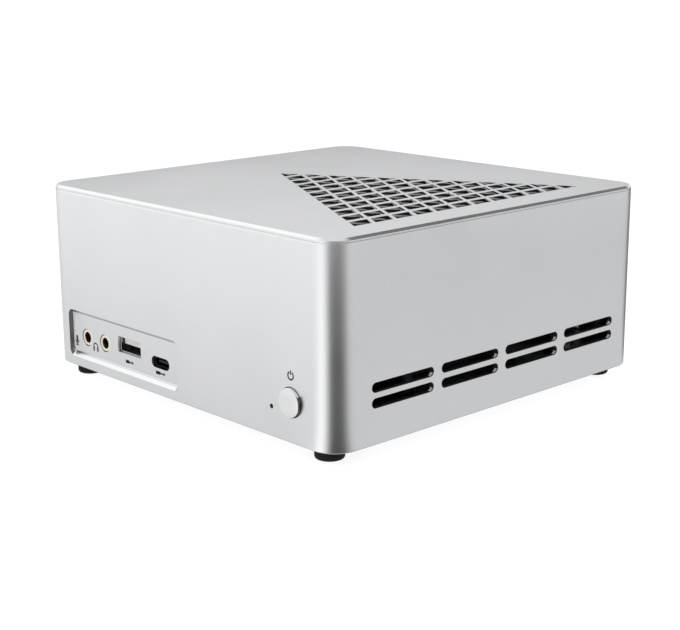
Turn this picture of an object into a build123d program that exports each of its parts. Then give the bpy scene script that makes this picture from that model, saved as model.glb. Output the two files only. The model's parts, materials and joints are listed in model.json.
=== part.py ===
from build123d import *
import os

# A small desktop computer: a low aluminium box on four rubber feet, all sizes in millimetres.
# Origin: middle of the footprint, level with the bottom of the feet. The front faces -Y, +X is to the
# right as seen from the front, and +Z is up.

# ---------------------------------------------------------------- driving dimensions
WIDTH = 155.0
DEPTH = 151.6
BODY_HEIGHT = 66.7  # outer shell and top cover together, without the feet
FOOT_HEIGHT = 4.6  # from the table to the lower edge of the outer shell
CORNER_RADIUS = 9.0
WALL = 2.0  # side and rear walls
FRONT_WALL = 3.4
COVER_THICKNESS = 1.5  # top cover and bottom cover
COVER_BEVEL = 0.8  # bevel round the top edge
FLOOR_INSET = 1.3  # bottom cover above the lower edge of the shell
BOARD_ABOVE_EDGE = 9.1  # upper face of the mainboard above the lower edge of the shell
FAN_X = 32.0  # fan and processor, under the middle of the vent
FIT_GAP = 0.15  # gap between covers and walls

# ---------------------------------------------------------------- faces and levels
LEFT, RIGHT = -WIDTH / 2, WIDTH / 2
FRONT, REAR = -DEPTH / 2, DEPTH / 2
INSIDE_FRONT = FRONT + FRONT_WALL
INSIDE_REAR = REAR - WALL
INSIDE_WIDTH = WIDTH - 2 * WALL
INSIDE_DEPTH = INSIDE_REAR - INSIDE_FRONT
INSIDE_Y = (INSIDE_FRONT + INSIDE_REAR) / 2
INSIDE_RADIUS = CORNER_RADIUS - WALL
SHELL_BOTTOM = FOOT_HEIGHT
TOP = FOOT_HEIGHT + BODY_HEIGHT
COVER_UNDERSIDE = TOP - COVER_THICKNESS
FLOOR_UNDERSIDE = SHELL_BOTTOM + FLOOR_INSET
FLOOR_TOP = FLOOR_UNDERSIDE + COVER_THICKNESS

BOARD_THICKNESS = 1.6
BOARD_TOP = SHELL_BOTTOM + BOARD_ABOVE_EDGE
BOARD_UNDERSIDE = BOARD_TOP - BOARD_THICKNESS
BOARD_WIDTH, BOARD_DEPTH = 147.0, 140.0
BOARD_Y = 0.3
BOARD_FRONT = BOARD_Y - BOARD_DEPTH / 2

# Corner columns of the shell, which stand above the feet
FOOT_INSET_X, FOOT_INSET_Y = 11.1, 8.5
POST_X = WIDTH / 2 - FOOT_INSET_X
POST_Y = DEPTH / 2 - FOOT_INSET_Y
POST_RADIUS = 3.8
POST_TOP = 66.0
CORNERS = [(-1, -1), (1, -1), (-1, 1), (1, 1)]

# ---------------------------------------------------------------- ports and openings
# Front: distance across from the left face and height above the lower edge of the shell
RECESS_LEFT, RECESS_RIGHT = LEFT + 10.8, LEFT + 77.4
RECESS_BOTTOM, RECESS_TOP = SHELL_BOTTOM + 3.5, SHELL_BOTTOM + 21.2
RECESS_DEPTH = 1.9
RECESS_LEDGE_RISE = 1.6
RECESS_RADIUS = 2.5
RECESS_FLOOR = FRONT + RECESS_DEPTH

MIC_X, HEADPHONE_X = LEFT + 19.7, LEFT + 31.1
JACK_Z = SHELL_BOTTOM + 11.3
JACK_HOLE_RADIUS = 3.25
PLUG_BORE_RADIUS = 1.8
USB_A_X, USB_A_Z = LEFT + 46.5, SHELL_BOTTOM + 12.9
USB_A_CUT = (13.8, 5.8)
USB_C_X, USB_C_Z = LEFT + 64.95, SHELL_BOTTOM + 10.8
USB_C_CUT = (10.3, 4.1)
BUTTON_X, BUTTON_Z = LEFT + 135.6, SHELL_BOTTOM + 13.3
BUTTON_RADIUS = 4.75
BUTTON_HOLE_RADIUS = 5.0
LAMP_X, LAMP_Z = LEFT + 126.3, SHELL_BOTTOM + 10.0
LAMP_HOLE_RADIUS = 0.8

# Side slots, four across and two rows on each side
SLOT_LENGTH, SLOT_HEIGHT = 27.6, 3.3
SLOT_FIRST_Y = FRONT + 16.0 + SLOT_LENGTH / 2
SLOT_PITCH = 31.2
SLOT_COLUMNS = 4
SLOT_LEVELS = (SHELL_BOTTOM + 13.55, SHELL_BOTTOM + 18.6)

# Rear ports, at their middles across
REAR_CUT_LEFT, REAR_CUT_RIGHT = -61.0, 55.0
REAR_CUT_BOTTOM, REAR_CUT_TOP = 12.9, 31.0
DC_X, HDMI_X, DISPLAY_X, NETWORK_X = -54.0, -37.0, -16.5, 5.0
REAR_USB_XS = (26.0, 45.0)
PORT_FACE = REAR - 0.4
SHIELD_GAP = 0.1
PORT_GAP = 0.3

# Vent: a triangle of cells between straight bars and bars along its front left edge
VENT_ROWS = 12
VENT_PITCH_X, VENT_PITCH_Y = 8.32, 9.32
VENT_RIGHT = LEFT + 143.4
VENT_TIP_MARGIN = 0.8  # the slanted edges meet this far beyond the last column of cells
VENT_APEX = VENT_RIGHT - VENT_ROWS * VENT_PITCH_X - VENT_TIP_MARGIN
VENT_SLOPE = VENT_PITCH_Y / VENT_PITCH_X / 2
STRAIGHT_BAR = 2.4
SLANTED_BAR = 1.3
SLANTED_BAR_Y = SLANTED_BAR * (1 + VENT_SLOPE**2) ** 0.5  # its width measured along Y


def box_between(x_range, y_range, z_range, mode=Mode.ADD):
    """A block between two limits along each axis, joined to the part in hand."""
    middles = [(low + high) / 2 for low, high in (x_range, y_range, z_range)]
    sizes = [high - low for low, high in (x_range, y_range, z_range)]
    with Locations(tuple(middles)):
        Box(*sizes, mode=mode)


def tube_along_y(x, z, y_range, radius, bore=0.0):
    """A round bar, or a tube with a bore, lying along Y."""
    with BuildSketch(Plane.XZ.offset(-y_range[1])) as section:
        with Locations((x, z)):
            Circle(radius)
            if bore:
                Circle(bore, mode=Mode.SUBTRACT)
    extrude(section.sketch, amount=y_range[1] - y_range[0])


def bore_along_y(x, z, y_range, radius):
    """Cuts a round hole along Y."""
    with BuildSketch(Plane.XZ.offset(-y_range[1])) as section:
        with Locations((x, z)):
            Circle(radius)
    extrude(section.sketch, amount=y_range[1] - y_range[0], mode=Mode.SUBTRACT)


def bars_along_z(centres, z_range, radius, mode=Mode.ADD):
    """Round bars, or holes, along Z at a list of places."""
    with BuildSketch(Plane.XY.offset(z_range[0])) as section:
        with Locations(*centres):
            Circle(radius)
    extrude(section.sketch, amount=z_range[1] - z_range[0], mode=mode)


# ---------------------------------------------------------------- case
POSTS = [(x_side * POST_X, y_side * POST_Y) for x_side, y_side in CORNERS]
WEB_LENGTH, WEB_THICKNESS = 9.0, 3.0
WEB_SHIFT = WEB_LENGTH / 2 / 2**0.5
CASE_SCREW_RADIUS = 1.45
CASE_SCREW_HOLE = 1.7
EDGE_BREAK = 0.25

# Wrap-round aluminium body, open at the top and bottom
with BuildPart() as outer_shell:
    with BuildSketch(Plane.XY.offset(SHELL_BOTTOM)):
        RectangleRounded(WIDTH, DEPTH, CORNER_RADIUS)
    extrude(amount=COVER_UNDERSIDE - SHELL_BOTTOM)
    chamfer(outer_shell.faces().sort_by(Axis.Z)[0].edges(), EDGE_BREAK)
    with BuildSketch(Plane.XY.offset(SHELL_BOTTOM)):
        with Locations((0, INSIDE_Y)):
            RectangleRounded(INSIDE_WIDTH, INSIDE_DEPTH, INSIDE_RADIUS)
    extrude(amount=COVER_UNDERSIDE - SHELL_BOTTOM, mode=Mode.SUBTRACT)
    # Corner columns, each joined to its corner by a web
    with BuildSketch(Plane.XY.offset(FLOOR_TOP)):
        with Locations(*POSTS):
            Circle(POST_RADIUS)
        for (x_side, y_side), (post_x, post_y) in zip(CORNERS, POSTS):
            with Locations((post_x + x_side * WEB_SHIFT, post_y + y_side * WEB_SHIFT)):
                Rectangle(WEB_LENGTH, WEB_THICKNESS, rotation=45 * x_side * y_side)
    extrude(amount=POST_TOP - FLOOR_TOP)
    bars_along_z(POSTS, (FLOOR_TOP, POST_TOP), CASE_SCREW_HOLE, Mode.SUBTRACT)
    # Sunken port panel: its lower wall slopes, the others are square to the face
    recess_width = RECESS_RIGHT - RECESS_LEFT
    recess_x = (RECESS_LEFT + RECESS_RIGHT) / 2
    for plane_y, low in ((FRONT, RECESS_BOTTOM), (RECESS_FLOOR, RECESS_BOTTOM + RECESS_LEDGE_RISE)):
        with BuildSketch(Plane.XZ.offset(-plane_y)):
            with Locations((recess_x, (low + RECESS_TOP) / 2)):
                RectangleRounded(recess_width, RECESS_TOP - low, RECESS_RADIUS)
    loft(mode=Mode.SUBTRACT)
    # Port holes through the panel
    front_wall = (FRONT, INSIDE_FRONT)
    bore_along_y(MIC_X, JACK_Z, front_wall, JACK_HOLE_RADIUS)
    bore_along_y(HEADPHONE_X, JACK_Z, front_wall, JACK_HOLE_RADIUS)
    with BuildSketch(Plane.XZ.offset(-INSIDE_FRONT)):
        with Locations((USB_A_X, USB_A_Z)):
            Rectangle(*USB_A_CUT)
        with Locations((USB_C_X, USB_C_Z)):
            SlotOverall(*USB_C_CUT)
    extrude(amount=FRONT_WALL, mode=Mode.SUBTRACT)
    # Power button and lamp holes
    bore_along_y(BUTTON_X, BUTTON_Z, front_wall, BUTTON_HOLE_RADIUS)
    bore_along_y(LAMP_X, LAMP_Z, front_wall, LAMP_HOLE_RADIUS)
    # Air slots in both side walls
    for side_x in (LEFT, RIGHT):
        with BuildSketch(Plane.YZ.offset(side_x)):
            for column in range(SLOT_COLUMNS):
                for level in SLOT_LEVELS:
                    with Locations((SLOT_FIRST_Y + column * SLOT_PITCH, level)):
                        SlotOverall(SLOT_LENGTH, SLOT_HEIGHT)
        extrude(amount=1.5 * WALL, both=True, mode=Mode.SUBTRACT)
    # Rear port window and a row of upright air slots above it
    box_between(
        (REAR_CUT_LEFT, REAR_CUT_RIGHT),
        (INSIDE_REAR - WALL, REAR + WALL),
        (REAR_CUT_BOTTOM, REAR_CUT_TOP),
        Mode.SUBTRACT,
    )
    REAR_SLOTS, REAR_SLOT_PITCH = 17, 6.6
    REAR_SLOT_SIZE = (18.0, 3.0)
    REAR_SLOT_Z = 50.0
    with BuildSketch(Plane.XZ.offset(-REAR)):
        with Locations((0, REAR_SLOT_Z)):
            with GridLocations(REAR_SLOT_PITCH, 1, REAR_SLOTS, 1):
                SlotOverall(*REAR_SLOT_SIZE, rotation=90)
    extrude(amount=1.5 * WALL, both=True, mode=Mode.SUBTRACT)


def vent_lines(x, row):
    """Height along Y, at x, of the slanted line under a row, from the front left edge."""
    return row * VENT_PITCH_Y - VENT_SLOPE * (x - VENT_APEX)


def vent_cell(column, row):
    """Corners of one vent cell; the last cell of a column is a triangle at the rear left edge."""
    right = VENT_RIGHT - column * VENT_PITCH_X - STRAIGHT_BAR / 2
    left = right - VENT_PITCH_X + STRAIGHT_BAR
    low, high = SLANTED_BAR_Y / 2, VENT_PITCH_Y - SLANTED_BAR_Y / 2
    if row < VENT_ROWS - 1 - column:
        return [
            (left, vent_lines(left, row) + low),
            (right, vent_lines(right, row) + low),
            (right, vent_lines(right, row) + high),
            (left, vent_lines(left, row) + high),
        ]
    # Where the slanted bar under the cell meets the rear left edge of the triangle
    tip = VENT_APEX + (row * VENT_PITCH_Y + 2 * low) / (2 * VENT_SLOPE)
    return [
        (tip, vent_lines(tip, row) + low),
        (right, vent_lines(right, row) + low),
        (right, VENT_SLOPE * (right - VENT_APEX) - low),
    ]


COVER_SEAM = 0.15
LIP_HEIGHT, LIP_THICKNESS = 1.2, 1.0
BOSS_RADIUS = 3.5
COVER_SCREW_HOLE = 1.5

# Flat lid with the triangular vent, a locating lip and four screw bosses underneath
with BuildPart() as top_cover:
    with BuildSketch(Plane.XY.offset(COVER_UNDERSIDE)):
        RectangleRounded(WIDTH, DEPTH, CORNER_RADIUS)
    extrude(amount=COVER_THICKNESS)
    chamfer(top_cover.faces().sort_by(Axis.Z)[-1].edges(), COVER_BEVEL)
    chamfer(top_cover.faces().sort_by(Axis.Z)[0].edges(), COVER_SEAM)
    with BuildSketch(Plane.XY.offset(COVER_UNDERSIDE)):
        with Locations((0, INSIDE_Y)):
            RectangleRounded(INSIDE_WIDTH - 2 * FIT_GAP, INSIDE_DEPTH - 2 * FIT_GAP, INSIDE_RADIUS - FIT_GAP)
            RectangleRounded(
                INSIDE_WIDTH - 2 * (FIT_GAP + LIP_THICKNESS),
                INSIDE_DEPTH - 2 * (FIT_GAP + LIP_THICKNESS),
                INSIDE_RADIUS - FIT_GAP - LIP_THICKNESS,
                mode=Mode.SUBTRACT,
            )
    extrude(amount=-LIP_HEIGHT)
    bars_along_z(POSTS, (POST_TOP, COVER_UNDERSIDE), BOSS_RADIUS)
    bars_along_z(POSTS, (POST_TOP, COVER_UNDERSIDE), COVER_SCREW_HOLE, Mode.SUBTRACT)
    with BuildSketch(Plane.XY.offset(COVER_UNDERSIDE)):
        for column in range(VENT_ROWS):
            for row in range(VENT_ROWS - column):
                with BuildLine():
                    Polyline(*vent_cell(column, row), close=True)
                make_face()
    extrude(amount=COVER_THICKNESS, mode=Mode.SUBTRACT)

STANDOFF_XS, STANDOFF_YS = 64.0, 52.0
STANDOFFS = [(x_side * STANDOFF_XS, y_side * STANDOFF_YS) for x_side, y_side in CORNERS]
STANDOFF_RADIUS, STANDOFF_STUD = 2.8, 2.0
FLOOR_SLOTS = (9, 2)
FLOOR_SLOT_PITCH = (11.0, 44.0)
FLOOR_SLOT_SIZE = (32.0, 3.0)

# Bottom plate, set a little up inside the shell
with BuildPart() as bottom_cover:
    with BuildSketch(Plane.XY.offset(FLOOR_UNDERSIDE)):
        with Locations((0, INSIDE_Y)):
            RectangleRounded(INSIDE_WIDTH - 2 * FIT_GAP, INSIDE_DEPTH - 2 * FIT_GAP, INSIDE_RADIUS - FIT_GAP)
        with Locations(*POSTS):
            Circle(CASE_SCREW_HOLE, mode=Mode.SUBTRACT)
        with Locations(*STANDOFFS):
            Circle(STANDOFF_STUD, mode=Mode.SUBTRACT)
        with GridLocations(*FLOOR_SLOT_PITCH, *FLOOR_SLOTS):
            SlotOverall(*FLOOR_SLOT_SIZE, rotation=90, mode=Mode.SUBTRACT)
    extrude(amount=COVER_THICKNESS)

FOOT_RADIUS = 4.9
FOOT_ROUND = 1.0
FOOT_WELL_RADIUS = 3.1
FOOT_WELL_DEPTH = 3.0

# Four round rubber feet with a well for the screw head
with BuildPart() as rubber_feet:
    bars_along_z(POSTS, (0, FLOOR_UNDERSIDE), FOOT_RADIUS)
    fillet(rubber_feet.faces().group_by(Axis.Z)[0].edges(), FOOT_ROUND)
    bars_along_z(POSTS, (0, FOOT_WELL_DEPTH), FOOT_WELL_RADIUS, Mode.SUBTRACT)
    bars_along_z(POSTS, (FOOT_WELL_DEPTH, FLOOR_UNDERSIDE), CASE_SCREW_HOLE, Mode.SUBTRACT)

SCREW_HEAD_RADIUS, SCREW_HEAD_HEIGHT = 2.7, 1.9
CASE_SCREW_TOP = 69.0

# Long screws that tie feet, bottom plate, shell and lid together
with BuildPart() as case_screws:
    bars_along_z(POSTS, (FOOT_WELL_DEPTH - SCREW_HEAD_HEIGHT, FOOT_WELL_DEPTH), SCREW_HEAD_RADIUS)
    bars_along_z(POSTS, (FOOT_WELL_DEPTH, CASE_SCREW_TOP), CASE_SCREW_RADIUS)
    with BuildSketch(Plane.XY.offset(FOOT_WELL_DEPTH - SCREW_HEAD_HEIGHT)):
        with Locations(*POSTS):
            RegularPolygon(1.15, 6)
    extrude(amount=1.2, mode=Mode.SUBTRACT)

# ---------------------------------------------------------------- power button and lamp
BUTTON_PROUD = 1.3
BUTTON_ROUND = 0.5
FLANGE_RADIUS, FLANGE_FRONT, FLANGE_REAR = 5.5, INSIDE_FRONT + 0.1, INSIDE_FRONT + 1.1
STEM_RADIUS = 2.0
PLUNGER_FRONT, PLUNGER_REAR = INSIDE_FRONT + 1.8, INSIDE_FRONT + 5.4
PLUNGER_RADIUS = 1.7
SWITCH_FRONT, SWITCH_REAR = INSIDE_FRONT + 3.2, INSIDE_FRONT + 7.6
SWITCH_BORE_END = INSIDE_FRONT + 6.5

# Metal cap with a flange behind the front wall and a stem to the switch
with BuildPart() as power_button:
    tube_along_y(BUTTON_X, BUTTON_Z, (FRONT - BUTTON_PROUD, FLANGE_FRONT), BUTTON_RADIUS)
    fillet(power_button.faces().sort_by(Axis.Y)[0].edges(), BUTTON_ROUND)
    tube_along_y(BUTTON_X, BUTTON_Z, (FLANGE_FRONT, FLANGE_REAR), FLANGE_RADIUS)
    tube_along_y(BUTTON_X, BUTTON_Z, (FLANGE_REAR, PLUNGER_FRONT), STEM_RADIUS)

with BuildPart() as power_switch_plunger:
    tube_along_y(BUTTON_X, BUTTON_Z, (PLUNGER_FRONT, PLUNGER_REAR), PLUNGER_RADIUS)

SWITCH_WIDTH, SWITCH_HEIGHT = 6.0, 7.4
with BuildPart() as power_switch:
    box_between(
        (BUTTON_X - SWITCH_WIDTH / 2, BUTTON_X + SWITCH_WIDTH / 2),
        (SWITCH_FRONT, SWITCH_REAR),
        (BOARD_TOP, BOARD_TOP + SWITCH_HEIGHT),
    )
    bore_along_y(BUTTON_X, BUTTON_Z, (SWITCH_FRONT, SWITCH_BORE_END), PLUNGER_RADIUS + 0.05)

LAMP_BODY = (3.2, 2.0, 1.8)
LAMP_LENS_RADIUS = 0.7
with BuildPart() as activity_led:
    box_between(
        (LAMP_X - LAMP_BODY[0] / 2, LAMP_X + LAMP_BODY[0] / 2),
        (BOARD_FRONT, BOARD_FRONT + LAMP_BODY[1]),
        (BOARD_TOP, BOARD_TOP + LAMP_BODY[2]),
    )
    tube_along_y(LAMP_X, LAMP_Z, (INSIDE_FRONT + 0.6, BOARD_FRONT), LAMP_LENS_RADIUS)

# ---------------------------------------------------------------- mainboard and its fixings
NOTCH_X, NOTCH_Y = 61.5, 59.5
BOARD_HOLE_RADIUS = 1.6
COOLER_HOLES = [(FAN_X + x_side * 37.5, y_side * 37.5) for x_side, y_side in CORNERS]
COOLER_HOLE_RADIUS = 1.7

with BuildPart() as mainboard:
    with BuildSketch(Plane.XY.offset(BOARD_UNDERSIDE)):
        with Locations((0, BOARD_Y)):
            Rectangle(BOARD_WIDTH, BOARD_DEPTH)
        for x_side, y_side in CORNERS:
            with Locations((x_side * (NOTCH_X + 10), y_side * (NOTCH_Y + 10))):
                Rectangle(20, 20, mode=Mode.SUBTRACT)
        with Locations(*STANDOFFS):
            Circle(BOARD_HOLE_RADIUS, mode=Mode.SUBTRACT)
        with Locations(*COOLER_HOLES):
            Circle(COOLER_HOLE_RADIUS, mode=Mode.SUBTRACT)
    extrude(amount=BOARD_THICKNESS)

BOARD_SCREW_RADIUS = 1.2
with BuildPart() as board_standoffs:
    bars_along_z(STANDOFFS, (FLOOR_UNDERSIDE, FLOOR_TOP), STANDOFF_STUD)
    bars_along_z(STANDOFFS, (FLOOR_TOP, BOARD_UNDERSIDE), STANDOFF_RADIUS)
    bars_along_z(STANDOFFS, (FLOOR_TOP, BOARD_UNDERSIDE), BOARD_SCREW_RADIUS + 0.05, Mode.SUBTRACT)

with BuildPart() as board_screws:
    bars_along_z(STANDOFFS, (BOARD_TOP - 5.0, BOARD_TOP), BOARD_SCREW_RADIUS)
    bars_along_z(STANDOFFS, (BOARD_TOP, BOARD_TOP + 1.8), 2.5)
    with BuildSketch(Plane.XY.offset(BOARD_TOP + 1.8)):
        with Locations(*STANDOFFS):
            Rectangle(3.0, 0.6)
            Rectangle(0.6, 3.0)
    extrude(amount=-1.0, mode=Mode.SUBTRACT)

# ---------------------------------------------------------------- audio jacks
JACK_BODY = (6.6, 12.0, 5.0)
BUSHING_FRONT = RECESS_FLOOR + 0.15
BUSHING_RADIUS = 3.1
BUSHING_BORE_RADIUS = 2.1  # a little wider than the jack behind it, to lead the plug in
JACK_BODY_FRONT = INSIDE_FRONT + 0.9


def jack_body(x):
    """Moulded jack body standing on the front edge of the board."""
    box_between(
        (x - JACK_BODY[0] / 2, x + JACK_BODY[0] / 2),
        (JACK_BODY_FRONT, JACK_BODY_FRONT + JACK_BODY[1]),
        (BOARD_TOP, BOARD_TOP + JACK_BODY[2]),
    )
    bore_along_y(x, JACK_Z, (JACK_BODY_FRONT, JACK_BODY_FRONT + JACK_BODY[1] - 0.8), PLUG_BORE_RADIUS)


with BuildPart() as mic_jack:
    jack_body(MIC_X)

with BuildPart() as headphone_jack:
    jack_body(HEADPHONE_X)

with BuildPart() as mic_jack_bushing:
    tube_along_y(MIC_X, JACK_Z, (BUSHING_FRONT, JACK_BODY_FRONT), BUSHING_RADIUS, BUSHING_BORE_RADIUS)

with BuildPart() as headphone_jack_bushing:
    tube_along_y(HEADPHONE_X, JACK_Z, (BUSHING_FRONT, JACK_BODY_FRONT), BUSHING_RADIUS, BUSHING_BORE_RADIUS)

# ---------------------------------------------------------------- USB sockets
USB_SHELL = (13.2, 5.6)
USB_SHEET = 0.35
USB_LENGTH = 14.0
USB_A_FRONT = RECESS_FLOOR + 0.9
USB_TONGUE = (11.2, 1.9)
USB_TONGUE_DROP = 0.55  # from the inside of the shell to the tongue
USB_BACK = 3.0


def usb_tongue(x, z, mouth, inwards, flip=1):
    """Contact tongue with its moulded back, for a socket whose mouth is at y = mouth."""
    back = mouth + inwards * (USB_LENGTH - USB_BACK)
    end = mouth + inwards * (USB_LENGTH - USB_SHEET)
    half_width, half_height = USB_SHELL[0] / 2 - USB_SHEET, USB_SHELL[1] / 2 - USB_SHEET
    box_between(
        (x - half_width, x + half_width), tuple(sorted((back, end))), (z - half_height, z + half_height)
    )
    tongue_outer = z + flip * (half_height - USB_TONGUE_DROP)
    tongue_inner = tongue_outer - flip * USB_TONGUE[1]
    box_between(
        (x - USB_TONGUE[0] / 2, x + USB_TONGUE[0] / 2),
        tuple(sorted((mouth + inwards * 1.2, back))),
        tuple(sorted((tongue_outer, tongue_inner))),
    )


with BuildPart() as front_usb_a_shell:
    usb_a_y = (USB_A_FRONT, USB_A_FRONT + USB_LENGTH)
    half_width, half_height = USB_SHELL[0] / 2, USB_SHELL[1] / 2
    box_between(
        (USB_A_X - half_width, USB_A_X + half_width), usb_a_y, (USB_A_Z - half_height, USB_A_Z + half_height)
    )
    fillet(front_usb_a_shell.edges().filter_by(Axis.Y), 0.5)
    box_between(
        (USB_A_X - half_width + USB_SHEET, USB_A_X + half_width - USB_SHEET),
        (usb_a_y[0], usb_a_y[1] - USB_SHEET),
        (USB_A_Z - half_height + USB_SHEET, USB_A_Z + half_height - USB_SHEET),
        Mode.SUBTRACT,
    )
    # Solder tabs down to the board
    for tab_x in (USB_A_X - half_width + 1.0, USB_A_X + half_width - 1.0):
        for tab_y in (BOARD_FRONT + 2.0, BOARD_FRONT + 8.0):
            box_between(
                (tab_x - 0.3, tab_x + 0.3), (tab_y, tab_y + 1.6), (BOARD_TOP, USB_A_Z - half_height + 0.1)
            )

with BuildPart() as front_usb_a_tongue:
    usb_tongue(USB_A_X, USB_A_Z, USB_A_FRONT, 1)

USB_C_SHELL = (9.0, 3.2)
USB_C_SHEET = 0.3
USB_C_FRONT = RECESS_FLOOR + 1.0
USB_C_LENGTH = 8.0
with BuildPart() as front_usb_c_shell:
    with BuildSketch(Plane.XZ.offset(-USB_C_FRONT)):
        with Locations((USB_C_X, USB_C_Z)):
            SlotOverall(*USB_C_SHELL)
    extrude(amount=-USB_C_LENGTH)
    with BuildSketch(Plane.XZ.offset(-USB_C_FRONT)):
        with Locations((USB_C_X, USB_C_Z)):
            SlotOverall(USB_C_SHELL[0] - 2 * USB_C_SHEET, USB_C_SHELL[1] - 2 * USB_C_SHEET)
    extrude(amount=USB_C_SHEET - USB_C_LENGTH, mode=Mode.SUBTRACT)
    box_between(
        (USB_C_X - 2.5, USB_C_X + 2.5),
        (BOARD_FRONT + 1.0, USB_C_FRONT + USB_C_LENGTH),
        (BOARD_TOP, USB_C_Z - USB_C_SHELL[1] / 2 + 0.2),
    )

with BuildPart() as front_usb_c_tongue:
    box_between(
        (USB_C_X - 3.35, USB_C_X + 3.35),
        (USB_C_FRONT + 0.8, USB_C_FRONT + USB_C_LENGTH - USB_C_SHEET),
        (USB_C_Z - 0.35, USB_C_Z + 0.35),
    )

# ---------------------------------------------------------------- rear ports
HDMI_SHELL = (15.0, 5.8)
DISPLAY_SHELL = (17.2, 6.0)
VIDEO_SHEET = 0.4
VIDEO_LENGTH = 12.0
NETWORK_SIZE = (16.0, 19.0, 13.4)
NETWORK_MOUTH = (11.8, 8.0)
DC_SIZE = (9.0, 14.0, 11.0)
DC_Z = BOARD_TOP + 6.4
DC_BORE_RADIUS, DC_BORE_DEPTH, DC_PIN_RADIUS = 3.2, 10.0, 1.25
STACK_SIZE = (14.2, 17.0, 15.8)
STACK_LEVELS = (BOARD_TOP + 3.9, BOARD_TOP + 11.7)

REAR_PORT_HOLES = [
    (DC_X, DC_SIZE[0], DC_SIZE[2]),
    (HDMI_X, HDMI_SHELL[0], HDMI_SHELL[1]),
    (DISPLAY_X, DISPLAY_SHELL[0], DISPLAY_SHELL[1]),
    (NETWORK_X, NETWORK_SIZE[0], NETWORK_SIZE[2]),
] + [(x, STACK_SIZE[0], STACK_SIZE[2]) for x in REAR_USB_XS]

# Pressed steel plate that fills the rear window round the ports
with BuildPart() as rear_port_shield:
    SHIELD_SHEET = 0.6
    shield_x = (REAR_CUT_LEFT + SHIELD_GAP, REAR_CUT_RIGHT - SHIELD_GAP)
    shield_z = (REAR_CUT_BOTTOM + SHIELD_GAP, REAR_CUT_TOP - SHIELD_GAP)
    box_between(shield_x, (INSIDE_REAR - 0.6, REAR - 0.5), shield_z)
    box_between(
        (shield_x[0] + SHIELD_SHEET, shield_x[1] - SHIELD_SHEET),
        (INSIDE_REAR - 1.0, REAR - 0.5 - SHIELD_SHEET),
        (shield_z[0] + SHIELD_SHEET, shield_z[1] - SHIELD_SHEET),
        Mode.SUBTRACT,
    )
    for port_x, port_width, port_height in REAR_PORT_HOLES:
        box_between(
            (port_x - port_width / 2 - PORT_GAP, port_x + port_width / 2 + PORT_GAP),
            (INSIDE_REAR - 1.0, REAR),
            (BOARD_TOP - PORT_GAP + 0.1, BOARD_TOP + port_height + PORT_GAP),
            Mode.SUBTRACT,
        )

with BuildPart() as dc_jack:
    box_between(
        (DC_X - DC_SIZE[0] / 2, DC_X + DC_SIZE[0] / 2),
        (PORT_FACE - DC_SIZE[1], PORT_FACE),
        (BOARD_TOP, BOARD_TOP + DC_SIZE[2]),
    )
    bore_along_y(DC_X, DC_Z, (PORT_FACE - DC_BORE_DEPTH, PORT_FACE), DC_BORE_RADIUS)

with BuildPart() as dc_jack_pin:
    tube_along_y(DC_X, DC_Z, (PORT_FACE - DC_BORE_DEPTH, PORT_FACE - 1.0), DC_PIN_RADIUS)
    fillet(dc_jack_pin.faces().sort_by(Axis.Y)[-1].edges(), 0.6)


def video_outline(x, shell, shrink, corner_cuts):
    """Corners of a port outline, inside the shell by shrink, with its lower corners cut off."""
    half = shell[0] / 2 - shrink
    low, high = BOARD_TOP + shrink, BOARD_TOP + shell[1] - shrink
    left_cut, right_cut = corner_cuts
    points = [(x - half, high)]
    points += [(x - half, low + left_cut), (x - half + left_cut, low)] if left_cut else [(x - half, low)]
    points += [(x + half - right_cut, low), (x + half, low + right_cut)] if right_cut else [(x + half, low)]
    return points + [(x + half, high)]


def video_shell(x, shell, corner_cuts):
    """Sheet steel port shell, closed at its inner end."""
    for shrink, mode in ((0.0, Mode.ADD), (VIDEO_SHEET, Mode.SUBTRACT)):
        with BuildSketch(Plane.XZ.offset(-PORT_FACE)) as outline:
            Polygon(*video_outline(x, shell, shrink, corner_cuts), align=None)
        extrude(outline.sketch, amount=VIDEO_LENGTH - shrink, mode=mode)


def video_tongue(x, shell, width):
    """Flat contact tongue in the middle of the port."""
    middle = BOARD_TOP + shell[1] / 2
    box_between(
        (x - width / 2, x + width / 2),
        (PORT_FACE - VIDEO_LENGTH + VIDEO_SHEET, PORT_FACE - 1.0),
        (middle - 0.5, middle + 0.5),
    )


HDMI_CORNERS, DISPLAY_CORNERS = (1.8, 1.8), (0.0, 2.2)

with BuildPart() as hdmi_shell:
    video_shell(HDMI_X, HDMI_SHELL, HDMI_CORNERS)

with BuildPart() as hdmi_tongue:
    video_tongue(HDMI_X, HDMI_SHELL, 11.4)

with BuildPart() as display_port_shell:
    video_shell(DISPLAY_X, DISPLAY_SHELL, DISPLAY_CORNERS)

with BuildPart() as display_port_tongue:
    video_tongue(DISPLAY_X, DISPLAY_SHELL, 13.0)

# Network jack: an open box with a latch notch under its mouth
NETWORK_MOUTH_LOW = BOARD_TOP + 3.6
with BuildPart() as network_jack:
    box_between(
        (NETWORK_X - NETWORK_SIZE[0] / 2, NETWORK_X + NETWORK_SIZE[0] / 2),
        (PORT_FACE - NETWORK_SIZE[1], PORT_FACE),
        (BOARD_TOP, BOARD_TOP + NETWORK_SIZE[2]),
    )
    box_between(
        (NETWORK_X - NETWORK_MOUTH[0] / 2, NETWORK_X + NETWORK_MOUTH[0] / 2),
        (PORT_FACE - 14.0, PORT_FACE),
        (NETWORK_MOUTH_LOW, NETWORK_MOUTH_LOW + NETWORK_MOUTH[1]),
        Mode.SUBTRACT,
    )
    for notch_width, notch_depth in ((6.2, 1.4), (3.6, 2.6)):
        box_between(
            (NETWORK_X - notch_width / 2, NETWORK_X + notch_width / 2),
            (PORT_FACE - 12.0, PORT_FACE),
            (NETWORK_MOUTH_LOW - notch_depth, NETWORK_MOUTH_LOW),
            Mode.SUBTRACT,
        )

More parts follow.
